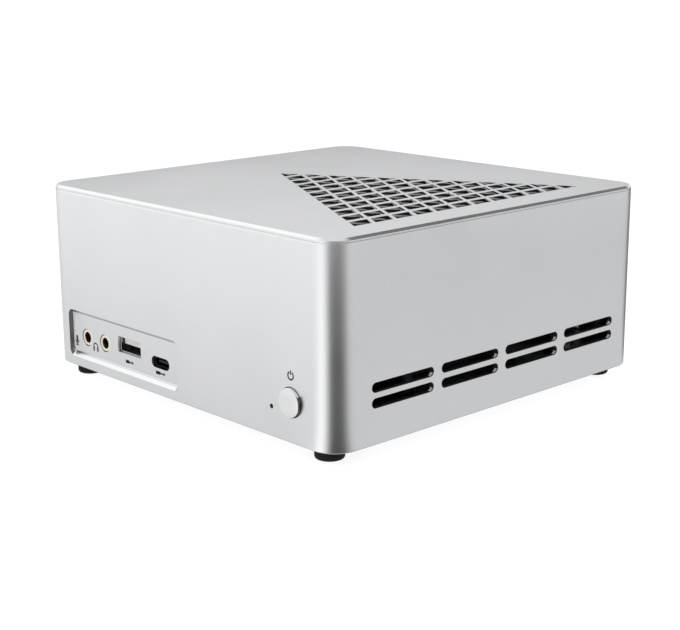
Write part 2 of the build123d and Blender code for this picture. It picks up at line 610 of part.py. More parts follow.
# Two stacks of two USB sockets
with BuildPart() as rear_usb_shells:
    for stack_x in REAR_USB_XS:
        box_between(
            (stack_x - STACK_SIZE[0] / 2, stack_x + STACK_SIZE[0] / 2),
            (PORT_FACE - STACK_SIZE[1], PORT_FACE),
            (BOARD_TOP, BOARD_TOP + STACK_SIZE[2]),
        )
        for level in STACK_LEVELS:
            box_between(
                (stack_x - USB_SHELL[0] / 2 + USB_SHEET, stack_x + USB_SHELL[0] / 2 - USB_SHEET),
                (PORT_FACE - USB_LENGTH + USB_SHEET, PORT_FACE),
                (level - USB_SHELL[1] / 2 + USB_SHEET, level + USB_SHELL[1] / 2 - USB_SHEET),
                Mode.SUBTRACT,
            )

with BuildPart() as rear_usb_tongues:
    for stack_x in REAR_USB_XS:
        for level in STACK_LEVELS:
            usb_tongue(stack_x, level, PORT_FACE, -1)

# ---------------------------------------------------------------- processor and cooler
SOCKET_SIZE = (44.0, 46.0, 4.3)
SOCKET_WELL = (37.9, 37.9, 1.0)
CHIP_SIZE = (37.5, 37.5, 1.2)
LID_SIZE = (31.0, 31.0)
SOCKET_TOP = BOARD_TOP + SOCKET_SIZE[2]
CHIP_BOTTOM = SOCKET_TOP - SOCKET_WELL[2]
CHIP_TOP = CHIP_BOTTOM + CHIP_SIZE[2]
COOLER_BOTTOM = BOARD_TOP + 7.6


def block_on(x, y, size, low, high, mode=Mode.ADD):
    """A block centred at x, y between two levels."""
    box_between((x - size[0] / 2, x + size[0] / 2), (y - size[1] / 2, y + size[1] / 2), (low, high), mode)


with BuildPart() as cpu_socket:
    block_on(FAN_X, 0, SOCKET_SIZE, BOARD_TOP, SOCKET_TOP)
    block_on(FAN_X, 0, SOCKET_WELL, CHIP_BOTTOM, SOCKET_TOP, Mode.SUBTRACT)

with BuildPart() as cpu:
    block_on(FAN_X, 0, CHIP_SIZE, CHIP_BOTTOM, CHIP_TOP)
    block_on(FAN_X, 0, LID_SIZE, CHIP_TOP, COOLER_BOTTOM)

LOAD_PLATE = (41.0, 43.0)
LOAD_WINDOW = (31.8, 31.8)
LOAD_PLATE_TOP = CHIP_TOP + 0.8
with BuildPart() as cpu_load_plate:
    block_on(FAN_X, 0, LOAD_PLATE, CHIP_TOP, LOAD_PLATE_TOP)
    block_on(FAN_X, 0, LOAD_WINDOW, CHIP_TOP, LOAD_PLATE_TOP, Mode.SUBTRACT)

LEVER_RADIUS = 0.8
LEVER_X = FAN_X + SOCKET_SIZE[0] / 2 + LEVER_RADIUS + 0.4
with BuildPart() as cpu_load_lever:
    with BuildLine() as lever_line:
        FilletPolyline(
            (LEVER_X - 4.5, 22.0, LOAD_PLATE_TOP + LEVER_RADIUS + 0.1),
            (LEVER_X, 22.0, LOAD_PLATE_TOP + LEVER_RADIUS + 0.1),
            (LEVER_X, -21.0, LOAD_PLATE_TOP + LEVER_RADIUS + 0.1),
            (LEVER_X + 4.5, -24.0, LOAD_PLATE_TOP + LEVER_RADIUS + 0.1),
            radius=1.8,
        )
    with BuildSketch(Plane(origin=lever_line.line @ 0, z_dir=lever_line.line % 0)):
        Circle(LEVER_RADIUS)
    sweep()

FAN_SIZE, FAN_THICKNESS = 80.0, 20.0
FAN_BOTTOM = 45.3
FAN_TOP = FAN_BOTTOM + FAN_THICKNESS
FAN_HOLES = [(FAN_X + x_side * 35.75, y_side * 35.75) for x_side, y_side in CORNERS]
COOLER_BASE = (42.0, 42.0)
COOLER_PLATE = (84.0, 84.0)
PLATE_BOTTOM, PLATE_TOP = COOLER_BOTTOM + 4.0, COOLER_BOTTOM + 7.0
FINS, FIN_PITCH, FIN_THICKNESS, FIN_LENGTH = 19, 4.0, 1.0, 76.0
COOLER_SCREW_RADIUS = 1.4
FAN_SCREW_RADIUS = 1.5

# Aluminium heatsink with fins along Y, four legs to the board and four columns for the fan screws
with BuildPart() as heatsink:
    block_on(FAN_X, 0, COOLER_BASE, COOLER_BOTTOM, PLATE_BOTTOM)
    block_on(FAN_X, 0, COOLER_PLATE, PLATE_BOTTOM, PLATE_TOP)
    bars_along_z(COOLER_HOLES, (BOARD_TOP, PLATE_BOTTOM), 3.0)
    bars_along_z(COOLER_HOLES, (BOARD_TOP, PLATE_BOTTOM), COOLER_SCREW_RADIUS + 0.05, Mode.SUBTRACT)
    with BuildSketch(Plane.XY.offset(PLATE_TOP)):
        with Locations((FAN_X, 0)):
            with GridLocations(FIN_PITCH, 1, FINS, 1):
                Rectangle(FIN_THICKNESS, FIN_LENGTH)
        with Locations(*FAN_HOLES):
            Circle(4.0)
    extrude(amount=FAN_BOTTOM - PLATE_TOP)
    bars_along_z(FAN_HOLES, (PLATE_TOP + 2, FAN_BOTTOM), FAN_SCREW_RADIUS + 0.05, Mode.SUBTRACT)

BACKPLATE_THICKNESS = 1.5
BACKPLATE_SIZE = (84.0, 84.0)
BACKPLATE_WINDOW = (58.0, 58.0)
BACKPLATE_BOTTOM = BOARD_UNDERSIDE - BACKPLATE_THICKNESS
with BuildPart() as heatsink_backplate:
    block_on(FAN_X, 0, BACKPLATE_SIZE, BACKPLATE_BOTTOM, BOARD_UNDERSIDE)
    block_on(FAN_X, 0, BACKPLATE_WINDOW, BACKPLATE_BOTTOM, BOARD_UNDERSIDE, Mode.SUBTRACT)
    bars_along_z(COOLER_HOLES, (BACKPLATE_BOTTOM, BOARD_UNDERSIDE), COOLER_HOLE_RADIUS, Mode.SUBTRACT)

with BuildPart() as heatsink_screws:
    bars_along_z(COOLER_HOLES, (BACKPLATE_BOTTOM - 1.6, BACKPLATE_BOTTOM), 2.6)
    bars_along_z(COOLER_HOLES, (BACKPLATE_BOTTOM, BOARD_TOP + 8.0), COOLER_SCREW_RADIUS)

# ---------------------------------------------------------------- fan
FAN_BORE_RADIUS = 38.7
MOTOR_PLATE_RADIUS = 17.0
BEARING_BOSS_RADIUS, BEARING_RADIUS = 5.0, 3.0
SHAFT_RADIUS, SHAFT_CLEARANCE = 1.5, 0.04
HUB_RADIUS, HUB_INSIDE_RADIUS = 17.5, 15.0
HUB_BOTTOM, HUB_TOP = FAN_BOTTOM + 3.0, FAN_TOP - 1.0
HUB_ROOF = 1.5
STRUTS, STRUT_WIDTH, STRUT_HEIGHT = 4, 4.0, 2.0

with BuildPart() as fan_frame:
    with BuildSketch(Plane.XY.offset(FAN_BOTTOM)):
        with Locations((FAN_X, 0)):
            RectangleRounded(FAN_SIZE, FAN_SIZE, 4.0)
            Circle(FAN_BORE_RADIUS, mode=Mode.SUBTRACT)
    extrude(amount=FAN_THICKNESS)
    with BuildSketch(Plane.XY.offset(FAN_BOTTOM)):
        with Locations((FAN_X, 0)):
            Circle(MOTOR_PLATE_RADIUS)
            with PolarLocations((MOTOR_PLATE_RADIUS + FAN_BORE_RADIUS) / 2, STRUTS, 45):
                Rectangle(FAN_BORE_RADIUS - MOTOR_PLATE_RADIUS + 2.0, STRUT_WIDTH)
    extrude(amount=STRUT_HEIGHT)
    bars_along_z([(FAN_X, 0)], (FAN_BOTTOM, FAN_TOP - 7.0), BEARING_BOSS_RADIUS)
    bars_along_z([(FAN_X, 0)], (FAN_BOTTOM + 1.0, FAN_TOP - 7.0), BEARING_RADIUS, Mode.SUBTRACT)
    bars_along_z(FAN_HOLES, (FAN_BOTTOM, FAN_TOP), FAN_SCREW_RADIUS + 0.2, Mode.SUBTRACT)

with BuildPart() as fan_bearing:
    bars_along_z([(FAN_X, 0)], (FAN_BOTTOM + 1.0, FAN_TOP - 7.0), BEARING_RADIUS)
    bars_along_z(
        [(FAN_X, 0)], (FAN_BOTTOM + 1.0, FAN_TOP - 7.0), SHAFT_RADIUS + SHAFT_CLEARANCE, Mode.SUBTRACT
    )

with BuildPart() as fan_shaft:
    bars_along_z([(FAN_X, 0)], (FAN_BOTTOM + 1.3, HUB_TOP - 0.5), SHAFT_RADIUS)

# Stator: a ring of four wound poles round the bearing boss
STATOR_LEVELS = (FAN_BOTTOM + STRUT_HEIGHT + 1.5, FAN_TOP - 6.0)
with BuildPart() as fan_motor_stator:
    with BuildSketch(Plane.XY.offset(STATOR_LEVELS[0])):
        with Locations((FAN_X, 0)):
            Circle(7.0)
            with PolarLocations(9.0, 4):
                Rectangle(7.0, 6.0)
            with PolarLocations(12.0, 4):
                Rectangle(2.0, 11.0)
            Circle(BEARING_BOSS_RADIUS, mode=Mode.SUBTRACT)
    extrude(amount=STATOR_LEVELS[1] - STATOR_LEVELS[0])

BLADES = 9
BLADE_TIP_RADIUS = 37.6
BLADE_MIDDLE_Z = (HUB_BOTTOM + HUB_TOP) / 2

# One twisted blade, steep at the hub and flatter at its tip
with BuildPart() as blade:
    for station, chord, thickness, pitch in ((15.7, 13.6, 1.8, 48), (39.0, 24.0, 1.0, 30)):
        with BuildSketch(Plane.YZ.offset(station)):
            with Locations((0, BLADE_MIDDLE_Z)):
                RectangleRounded(chord, thickness, 0.45 * thickness, rotation=pitch)
    loft()
    with BuildSketch(Plane.XY.offset(FAN_BOTTOM)):
        Circle(BLADE_TIP_RADIUS)
    extrude(amount=FAN_THICKNESS, mode=Mode.INTERSECT)

with BuildPart() as fan_rotor:
    bars_along_z([(FAN_X, 0)], (HUB_BOTTOM, HUB_TOP), HUB_RADIUS)
    fillet(fan_rotor.faces().sort_by(Axis.Z)[-1].edges(), 1.2)
    bars_along_z([(FAN_X, 0)], (HUB_BOTTOM, HUB_TOP - HUB_ROOF), HUB_INSIDE_RADIUS, Mode.SUBTRACT)
    bars_along_z([(FAN_X, 0)], (HUB_TOP - HUB_ROOF - 2.5, HUB_TOP - HUB_ROOF), 3.2)
    bars_along_z([(FAN_X, 0)], (HUB_TOP - HUB_ROOF - 2.5, HUB_TOP - 0.5), SHAFT_RADIUS, Mode.SUBTRACT)
    with Locations((FAN_X, 0)):
        with PolarLocations(0, BLADES):
            add(blade.part)

with BuildPart() as fan_screws:
    bars_along_z(FAN_HOLES, (FAN_BOTTOM - 10.0, FAN_TOP), FAN_SCREW_RADIUS)
    bars_along_z(FAN_HOLES, (FAN_TOP, FAN_TOP + 1.8), 2.8)
    with BuildSketch(Plane.XY.offset(FAN_TOP + 1.8)):
        with Locations(*FAN_HOLES):
            Rectangle(3.2, 0.7)
            Rectangle(0.7, 3.2)
    extrude(amount=-1.0, mode=Mode.SUBTRACT)

# Fan lead, from the frame down to its plug on the board
HEADER_X, HEADER_Y = -18.0, 49.0
HEADER_SIZE = (4.0, 10.2)
HEADER_BASE, HEADER_TOP = BOARD_TOP + 3.0, BOARD_TOP + 7.0
PLUG_TOP = BOARD_TOP + 11.0
CABLE_RADIUS = 1.1
with BuildPart() as fan_header:
    block_on(HEADER_X, HEADER_Y, HEADER_SIZE, BOARD_TOP, HEADER_BASE)

with BuildPart() as fan_plug:
    block_on(HEADER_X, HEADER_Y, HEADER_SIZE, HEADER_BASE, PLUG_TOP)
    chamfer(fan_plug.faces().sort_by(Axis.Z)[-1].edges(), 0.4)

with BuildPart() as fan_cable:
    with BuildLine() as cable_line:
        FilletPolyline(
            (FAN_X - FAN_SIZE / 2, 33.0, 49.0),
            (HEADER_X, 33.0, 49.0),
            (HEADER_X, HEADER_Y, 38.0),
            (HEADER_X, HEADER_Y, PLUG_TOP),
            radius=[4.5, 9.0],
        )
    with BuildSketch(Plane(origin=cable_line.line @ 0, z_dir=cable_line.line % 0)):
        Circle(CABLE_RADIUS)
    sweep()

# ---------------------------------------------------------------- memory
MEMORY_LENGTH, MODULE_WIDTH, MODULE_THICKNESS = 73.0, 30.0, 1.0
MODULE_LENGTH = 67.6
MODULE_GRIP = 2.0


def memory_socket(x_range, height, module_z):
    """Edge socket with two latch arms along the ends of its module."""
    half = MEMORY_LENGTH / 2
    box_between(x_range, (-half, half), (BOARD_TOP, BOARD_TOP + height))
    for arm_y in (-half, half - 1.6):
        box_between((x_range[1], x_range[1] + 20.0), (arm_y, arm_y + 1.6), (module_z - 1.4, module_z + 1.6))
    box_between(
        (x_range[1] - MODULE_GRIP, x_range[1]),
        (-MODULE_LENGTH / 2 - 0.1, MODULE_LENGTH / 2 + 0.1),
        (module_z - 0.1, module_z + MODULE_THICKNESS + 0.1),
        Mode.SUBTRACT,
    )


def memory_module(x_start, module_z):
    """Module board with four memory chips on each face."""
    box_between(
        (x_start, x_start + MODULE_WIDTH),
        (-MODULE_LENGTH / 2, MODULE_LENGTH / 2),
        (module_z, module_z + MODULE_THICKNESS),
    )
    for level in (module_z - 0.9, module_z + MODULE_THICKNESS):
        with Locations((x_start + 17.0, 0, level + 0.45)):
            with GridLocations(1, 15.5, 1, 4):
                Box(12.0, 9.5, 0.9)


LOWER_SOCKET_X, UPPER_SOCKET_X = (-66.0, -59.5), (-73.0, -66.2)
LOWER_MODULE_Z, UPPER_MODULE_Z = BOARD_TOP + 2.0, BOARD_TOP + 7.2
with BuildPart() as memory_socket_lower:
    memory_socket(LOWER_SOCKET_X, 4.0, LOWER_MODULE_Z)

with BuildPart() as memory_socket_upper:
    memory_socket(UPPER_SOCKET_X, 9.2, UPPER_MODULE_Z)

with BuildPart() as memory_module_lower:
    memory_module(LOWER_SOCKET_X[1] - MODULE_GRIP, LOWER_MODULE_Z)

with BuildPart() as memory_module_upper:
    memory_module(UPPER_SOCKET_X[1] - MODULE_GRIP, UPPER_MODULE_Z)

# ---------------------------------------------------------------- solid-state drive
SSD_X, SSD_WIDTH, SSD_LENGTH, SSD_THICKNESS = -20.0, 22.0, 80.0, 0.8
SSD_FRONT = -46.0
SSD_REAR = SSD_FRONT + SSD_LENGTH
SSD_Z = BOARD_TOP + 2.4
SSD_SCREW_Y = SSD_FRONT + 0.4
with BuildPart() as ssd_socket:
    box_between((SSD_X - 11.0, SSD_X + 11.0), (SSD_REAR - 2.0, SSD_REAR + 5.0), (BOARD_TOP, BOARD_TOP + 4.2))
    box_between(
        (SSD_X - 10.0 - 1.1, SSD_X + 10.0 + 1.1),
        (SSD_REAR - 2.0, SSD_REAR),
        (SSD_Z - 0.1, SSD_Z + SSD_THICKNESS + 0.1),
        Mode.SUBTRACT,
    )

with BuildPart() as ssd_card:
    box_between(
        (SSD_X - SSD_WIDTH / 2, SSD_X + SSD_WIDTH / 2), (SSD_FRONT, SSD_REAR), (SSD_Z, SSD_Z + SSD_THICKNESS)
    )
    for chip_y, chip_length in ((-30.0, 16.0), (-8.0, 18.0), (16.0, 14.0)):
        block_on(SSD_X, chip_y, (16.0, chip_length), SSD_Z + SSD_THICKNESS, SSD_Z + SSD_THICKNESS + 1.2)
    bars_along_z([(SSD_X, SSD_SCREW_Y)], (SSD_Z, SSD_Z + SSD_THICKNESS), 1.4, Mode.SUBTRACT)

with BuildPart() as ssd_standoff:
    bars_along_z([(SSD_X, SSD_SCREW_Y)], (BOARD_TOP, SSD_Z), 2.5)
    bars_along_z([(SSD_X, SSD_SCREW_Y)], (BOARD_TOP + 0.4, SSD_Z), 1.05, Mode.SUBTRACT)

with BuildPart() as ssd_screw:
    bars_along_z([(SSD_X, SSD_SCREW_Y)], (BOARD_TOP + 0.6, SSD_Z + SSD_THICKNESS), 1.0)
    bars_along_z([(SSD_X, SSD_SCREW_Y)], (SSD_Z + SSD_THICKNESS, SSD_Z + SSD_THICKNESS + 1.0), 2.4)

# ---------------------------------------------------------------- other parts on the board
CELL_X, CELL_Y = -46.0, 48.4
CELL_RADIUS, CELL_THICKNESS = 10.0, 3.2
with BuildPart() as coin_cell_holder:
    bars_along_z([(CELL_X, CELL_Y)], (BOARD_TOP, BOARD_TOP + 3.0), CELL_RADIUS + 1.1)
    bars_along_z([(CELL_X, CELL_Y)], (BOARD_TOP + 0.8, BOARD_TOP + 3.0), CELL_RADIUS + 0.1, Mode.SUBTRACT)

with BuildPart() as coin_cell:
    bars_along_z([(CELL_X, CELL_Y)], (BOARD_TOP + 0.8, BOARD_TOP + 0.8 + CELL_THICKNESS), CELL_RADIUS)
    fillet(coin_cell.faces().sort_by(Axis.Z)[-1].edges(), 0.6)

CHIPSET_X, CHIPSET_Y, CHIPSET_SIZE = -48.0, -48.5, (18.0, 17.0)
with BuildPart() as chipset_heatsink:
    block_on(CHIPSET_X, CHIPSET_Y, (13.0, 13.0), BOARD_TOP, BOARD_TOP + 1.4)
    block_on(CHIPSET_X, CHIPSET_Y, CHIPSET_SIZE, BOARD_TOP + 1.4, BOARD_TOP + 3.4)
    with BuildSketch(Plane.XY.offset(BOARD_TOP + 3.4)):
        with Locations((CHIPSET_X, CHIPSET_Y)):
            with GridLocations(2.8, 1, 7, 1):
                Rectangle(0.9, CHIPSET_SIZE[1])
    extrude(amount=6.0)

COILS, COIL_PITCH, COIL_SIZE = 5, 9.5, (7.0, 7.0, 4.0)
with BuildPart() as power_inductors:
    with Locations((22.0, -50.0, BOARD_TOP + COIL_SIZE[2] / 2)):
        with GridLocations(COIL_PITCH, 1, COILS, 1):
            Box(*COIL_SIZE)

with BuildPart() as power_capacitors:
    with BuildSketch(Plane.XY.offset(BOARD_TOP)):
        with Locations((22.0, -60.0)):
            with GridLocations(COIL_PITCH, 1, COILS, 1):
                Circle(3.1)
    extrude(amount=7.5)

# ---------------------------------------------------------------- labels and files
PIECES = {
    "outer_shell": outer_shell,
    "top_cover": top_cover,
    "bottom_cover": bottom_cover,
    "rubber_feet": rubber_feet,
    "case_screws": case_screws,
    "power_button": power_button,
    "power_switch_plunger": power_switch_plunger,
    "power_switch": power_switch,
    "activity_led": activity_led,
    "mainboard": mainboard,
    "board_standoffs": board_standoffs,
    "board_screws": board_screws,
    "mic_jack": mic_jack,
    "headphone_jack": headphone_jack,
    "mic_jack_bushing": mic_jack_bushing,
    "headphone_jack_bushing": headphone_jack_bushing,
    "front_usb_a_shell": front_usb_a_shell,
    "front_usb_a_tongue": front_usb_a_tongue,
    "front_usb_c_shell": front_usb_c_shell,
    "front_usb_c_tongue": front_usb_c_tongue,
    "rear_port_shield": rear_port_shield,
    "dc_jack": dc_jack,
    "dc_jack_pin": dc_jack_pin,
    "hdmi_shell": hdmi_shell,
    "hdmi_tongue": hdmi_tongue,
    "display_port_shell": display_port_shell,
    "display_port_tongue": display_port_tongue,
    "network_jack": network_jack,
    "rear_usb_shells": rear_usb_shells,
    "rear_usb_tongues": rear_usb_tongues,
    "cpu_socket": cpu_socket,
    "cpu": cpu,
    "cpu_load_plate": cpu_load_plate,
    "cpu_load_lever": cpu_load_lever,
    "heatsink": heatsink,
    "heatsink_backplate": heatsink_backplate,
    "heatsink_screws": heatsink_screws,
    "fan_frame": fan_frame,
    "fan_bearing": fan_bearing,
    "fan_shaft": fan_shaft,
    "fan_motor_stator": fan_motor_stator,
    "fan_rotor": fan_rotor,
    "fan_screws": fan_screws,
    "fan_header": fan_header,
    "fan_plug": fan_plug,
    "fan_cable": fan_cable,
    "memory_socket_lower": memory_socket_lower,
    "memory_socket_upper": memory_socket_upper,
    "memory_module_lower": memory_module_lower,
    "memory_module_upper": memory_module_upper,
    "ssd_socket": ssd_socket,
    "ssd_card": ssd_card,
    "ssd_standoff": ssd_standoff,
    "ssd_screw": ssd_screw,
    "coin_cell_holder": coin_cell_holder,
    "coin_cell": coin_cell,
    "chipset_heatsink": chipset_heatsink,
    "power_inductors": power_inductors,
    "power_capacitors": power_capacitors,
}

os.makedirs("parts", exist_ok=True)
for name, piece in PIECES.items():
    piece.part.label = name
    export_step(piece.part, f"parts/{name}.step")
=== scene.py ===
import json
import math
import random

import bmesh
import bpy
from mathutils import Matrix, Vector


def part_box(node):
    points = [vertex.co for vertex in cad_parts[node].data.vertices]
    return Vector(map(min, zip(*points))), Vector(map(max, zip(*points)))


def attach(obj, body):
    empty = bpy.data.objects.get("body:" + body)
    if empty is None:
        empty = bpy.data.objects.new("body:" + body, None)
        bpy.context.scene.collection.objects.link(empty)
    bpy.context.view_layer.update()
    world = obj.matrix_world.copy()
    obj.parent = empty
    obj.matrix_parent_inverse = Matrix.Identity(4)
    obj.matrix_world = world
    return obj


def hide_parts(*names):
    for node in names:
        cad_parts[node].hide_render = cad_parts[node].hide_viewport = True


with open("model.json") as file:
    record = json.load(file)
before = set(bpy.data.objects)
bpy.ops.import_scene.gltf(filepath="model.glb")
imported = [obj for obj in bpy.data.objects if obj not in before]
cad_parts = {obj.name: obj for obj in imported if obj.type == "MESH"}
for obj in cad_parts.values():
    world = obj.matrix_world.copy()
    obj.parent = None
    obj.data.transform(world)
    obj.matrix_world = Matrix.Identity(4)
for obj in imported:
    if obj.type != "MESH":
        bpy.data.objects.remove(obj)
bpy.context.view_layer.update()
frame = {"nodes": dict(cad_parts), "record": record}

# A low aluminium desktop computer on four rubber feet. Everything is in metres, in the frame's axes:
# the front faces -Y, +X is to the right seen from the front, and the feet stand on Z = 0.

MM = 0.001
SCENE = bpy.context.scene
NODES = frame["nodes"]
MOUNTS = {mount["name"]: Vector(mount["pos_m"]) for mount in frame["record"]["mounts"]}

# The case
SHELL_LOW, SHELL_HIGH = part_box("outer_shell")
LID_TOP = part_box("top_cover")[1].z
FACE_Y = SHELL_LOW.y
FRONT_WALL, SIDE_WALL = 3.4 * MM, 2.0 * MM
CORNER_RADIUS = 9 * MM

# The sunken port panel, and the level where the shade of its upper edge ends
PANEL_Y = FACE_Y + 1.9 * MM
RECESS_LOW = SHELL_LOW + Vector((10.8, 0.0, 3.5)) * MM
RECESS_HIGH = SHELL_LOW + Vector((77.4, 1.9, 21.2)) * MM
OVERHANG_Z = RECESS_HIGH.z - 1.55 * MM

# Levels of the double USB sockets at the rear, and of the memory modules
BOARD_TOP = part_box("mainboard")[1].z
REAR_USB = "usb_rear_left", "usb_rear_right"
USB_LEVELS = BOARD_TOP + 3.9 * MM, BOARD_TOP + 11.7 * MM
LOWER_MODULE, UPPER_MODULE = BOARD_TOP + 2.0 * MM, BOARD_TOP + 7.2 * MM
MODULE_THICKNESS = 1.0 * MM

# Camera: the point it aims at, and how it stands to that point
AIM = Vector((2.4, -3.0, 22.8)) * MM
CAMERA_DISTANCE = 524.3 * MM
CAMERA_AZIMUTH = math.radians(47.03)
CAMERA_ELEVATION = math.radians(14.20)
CAMERA_ROLL = math.radians(-0.316)
CAMERA_LENS = 75.12  # mm, on a sensor 36 mm wide


# ---------------------------------------- procedural materials
class Finish:
    """A material on one Principled shader, with short methods that add texture nodes to it."""

    def __init__(self, name, colour, roughness, metallic=0.0):
        self.material = bpy.data.materials.new(name)
        self.material.use_nodes = True
        self.nodes = self.material.node_tree.nodes
        self.links = self.material.node_tree.links
        self.shader = self.nodes["Principled BSDF"]
        self.colour = colour
        self.set("Base Color", (*colour, 1.0))
        self.set("Roughness", roughness)
        self.set("Metallic", metallic)
        self.place = self.nodes.new("ShaderNodeTexCoord").outputs["Object"]
        self.at = self.parts_of(self.place)

    def set(self, socket, value):
        self.shader.inputs[socket].default_value = value

    def join(self, output, socket):
        self.links.new(output, self.shader.inputs[socket])

    def feed(self, value, socket):
        """Links an output to a node's socket, or sets a number or colour there."""
        if isinstance(value, bpy.types.NodeSocket):
            self.links.new(value, socket)
        elif isinstance(value, tuple):
            socket.default_value = (*value, 1.0)
        else:
            socket.default_value = value

    def parts_of(self, vector):
        """The X, Y and Z of a vector output."""
        node = self.nodes.new("ShaderNodeSeparateXYZ")
        self.links.new(vector, node.inputs["Vector"])
        return node.outputs

    def normal(self):
        """The X, Y and Z of the face's own normal."""
        return self.parts_of(self.nodes.new("ShaderNodeNewGeometry").outputs["True Normal"])

    def noise(self, grain, detail=3.0, stretch=(1, 1, 1)):
        """Noise whose largest grains are this long, in metres, stretched along each axis."""
        mapping = self.nodes.new("ShaderNodeMapping")
        mapping.inputs["Scale"].default_value = [1 / (grain * s) for s in stretch]
        self.links.new(self.place, mapping.inputs["Vector"])
        texture = self.nodes.new("ShaderNodeTexNoise")
        texture.inputs["Scale"].default_value = 1.0
        texture.inputs["Detail"].default_value = detail
        self.links.new(mapping.outputs["Vector"], texture.inputs["Vector"])
        return texture.outputs["Fac"]

    def cells(self, size):
        """A pattern of rounded cells of this size, in metres."""
        texture = self.nodes.new("ShaderNodeTexVoronoi")
        texture.inputs["Scale"].default_value = 1 / size
        self.links.new(self.place, texture.inputs["Vector"])
        return texture.outputs["Distance"]

    def rings(self, centre, axis, spacing):
        """Fine turning lines round an axis through a point: 0 to 1 across each line."""
        flat = [1.0, 1.0, 1.0]
        flat[axis] = 0.0
        mapping = self.nodes.new("ShaderNodeMapping")
        mapping.vector_type = "TEXTURE"
        mapping.inputs["Location"].default_value = centre
        self.links.new(self.place, mapping.inputs["Vector"])
        squashed = self.nodes.new("ShaderNodeVectorMath")
        squashed.operation = "MULTIPLY"
        squashed.inputs[1].default_value = flat
        self.links.new(mapping.outputs["Vector"], squashed.inputs[0])
        length = self.nodes.new("ShaderNodeVectorMath")
        length.operation = "LENGTH"
        self.links.new(squashed.outputs["Vector"], length.inputs[0])
        return self.maths("PINGPONG", self.maths("DIVIDE", length.outputs["Value"], spacing), 1.0)

    def remap(self, factor, from_range, to_range):
        node = self.nodes.new("ShaderNodeMapRange")
        node.inputs["From Min"].default_value, node.inputs["From Max"].default_value = from_range
        node.inputs["To Min"].default_value, node.inputs["To Max"].default_value = to_range
        self.links.new(factor, node.inputs["Value"])
        return node.outputs["Result"]

    def blotches(self, grain):
        """Broad noise drawn out to run from 0 to 1."""
        return self.remap(self.noise(grain), (0.3, 0.7), (0.0, 1.0))

    def maths(self, operation, first, second=0.0):
        node = self.nodes.new("ShaderNodeMath")
        node.operation = operation
        self.feed(first, node.inputs[0])
        self.feed(second, node.inputs[1])
        return node.outputs["Value"]

    def both(self, *masks):
        """1 where every mask is 1."""
        product = masks[0]
        for mask in masks[1:]:
            product = self.maths("MULTIPLY", product, mask)
        return product

    def between(self, value, low, high):
        """1 where a value lies between two others, and 0 elsewhere."""
        return self.both(self.maths("GREATER_THAN", value, low), self.maths("LESS_THAN", value, high))

    def mixed(self, factor, first, second):
        """A colour between two, by a factor."""
        node = self.nodes.new("ShaderNodeMix")
        node.data_type = "RGBA"
        self.links.new(factor, node.inputs["Factor"])
        first_socket, second_socket = [i for i in node.inputs if i.type == "RGBA"]
        self.feed(first, first_socket)
        self.feed(second, second_socket)
        return next(o for o in node.outputs if o.type == "RGBA")

    def within(self, low, high):
        """1 inside the box between two corners, and 0 outside it."""
        return self.both(*[self.between(*span) for span in zip(self.at, low, high)])

    def within_bore(self, centre, radius):
        """1 nearer than this to an axis that runs front to back through a point, and 0 further out."""
        across = self.maths("POWER", self.maths("SUBTRACT", self.at["X"], centre.x), 2.0)
        upwards = self.maths("POWER", self.maths("SUBTRACT", self.at["Z"], centre.z), 2.0)
        return self.maths("LESS_THAN", self.maths("ADD", across, upwards), radius**2)

    def within_case(self, wall):
        """1 further inside the case's rounded outline than this wall thickness, and 0 outside."""
        squares = 0.0
        for axis in (0, 1):
            middle = (SHELL_LOW[axis] + SHELL_HIGH[axis]) / 2
            straight = (SHELL_HIGH[axis] - SHELL_LOW[axis]) / 2 - CORNER_RADIUS
            away = self.maths("ABSOLUTE", self.maths("SUBTRACT", self.at[axis], middle))
            past = self.maths("MAXIMUM", self.maths("SUBTRACT", away, straight), 0.0)
            squares = self.maths("ADD", squares, self.maths("POWER", past, 2.0))
        return self.maths("LESS_THAN", squares, (CORNER_RADIUS - wall) ** 2)

    def crevices(self, reach):
        """0 in the open and up to 1 deep in corners and gaps, looking this far."""
        node = self.nodes.new("ShaderNodeAmbientOcclusion")
        node.samples = 8
        node.inputs["Distance"].default_value = reach
        return self.remap(node.outputs["AO"], (0.25, 0.95), (1.0, 0.0))

    def bump(self, height, depth):
        """Adds relief: depth is the height of the pattern in metres. Calls chain."""
        node = self.nodes.new("ShaderNodeBump")
        node.inputs["Strength"].default_value = 1.0
        node.inputs["Distance"].default_value = depth
        self.links.new(height, node.inputs["Height"])
        if self.shader.inputs["Normal"].links:
            self.links.new(self.shader.inputs["Normal"].links[0].from_socket, node.inputs["Normal"])
        self.join(node.outputs["Normal"], "Normal")

    def uneven(self, grain, colour_change, roughness_range):
        """Colour and roughness that wander a little over the surface. Returns the colour."""
        darker = tuple(channel * (1 - colour_change) for channel in self.colour)
        lighter = tuple(min(channel * (1 + colour_change), 1.0) for channel in self.colour)
        spread = self.blotches(grain)
        surface = self.mixed(spread, darker, lighter)
        self.join(surface, "Base Color")
        self.join(self.remap(spread, (0.0, 1.0), roughness_range), "Roughness")
        return surface


SILVER, SILVER_DARK = (0.815, 0.82, 0.83), (0.79, 0.797, 0.807)
CUT_EDGE = (0.88, 0.885, 0.89)
LIT_RIM = (0.86, 0.865, 0.87)
LIT_LEDGE = (0.70, 0.705, 0.71)
# Painted shade, laid in the corners and gaps of the case
CREVICE_SHADE = (0.50, 0.50, 0.505)
# A thin line of painted shadow along the bottom edge of the case
BOTTOM_SHADOW_LINE = (0.45, 0.45, 0.455)
OVERHANG_SHADE = (0.44, 0.44, 0.445)
END_SHADE = (0.17, 0.17, 0.175)
SLOT_SHADE = (0.05, 0.05, 0.052)
# Painted black shade, inside the case and in the lid's vent
SHADE_BLACK = (0.010, 0.010, 0.011)
SKIN = 0.1 * MM  # how far a mask reaches past the face that it covers


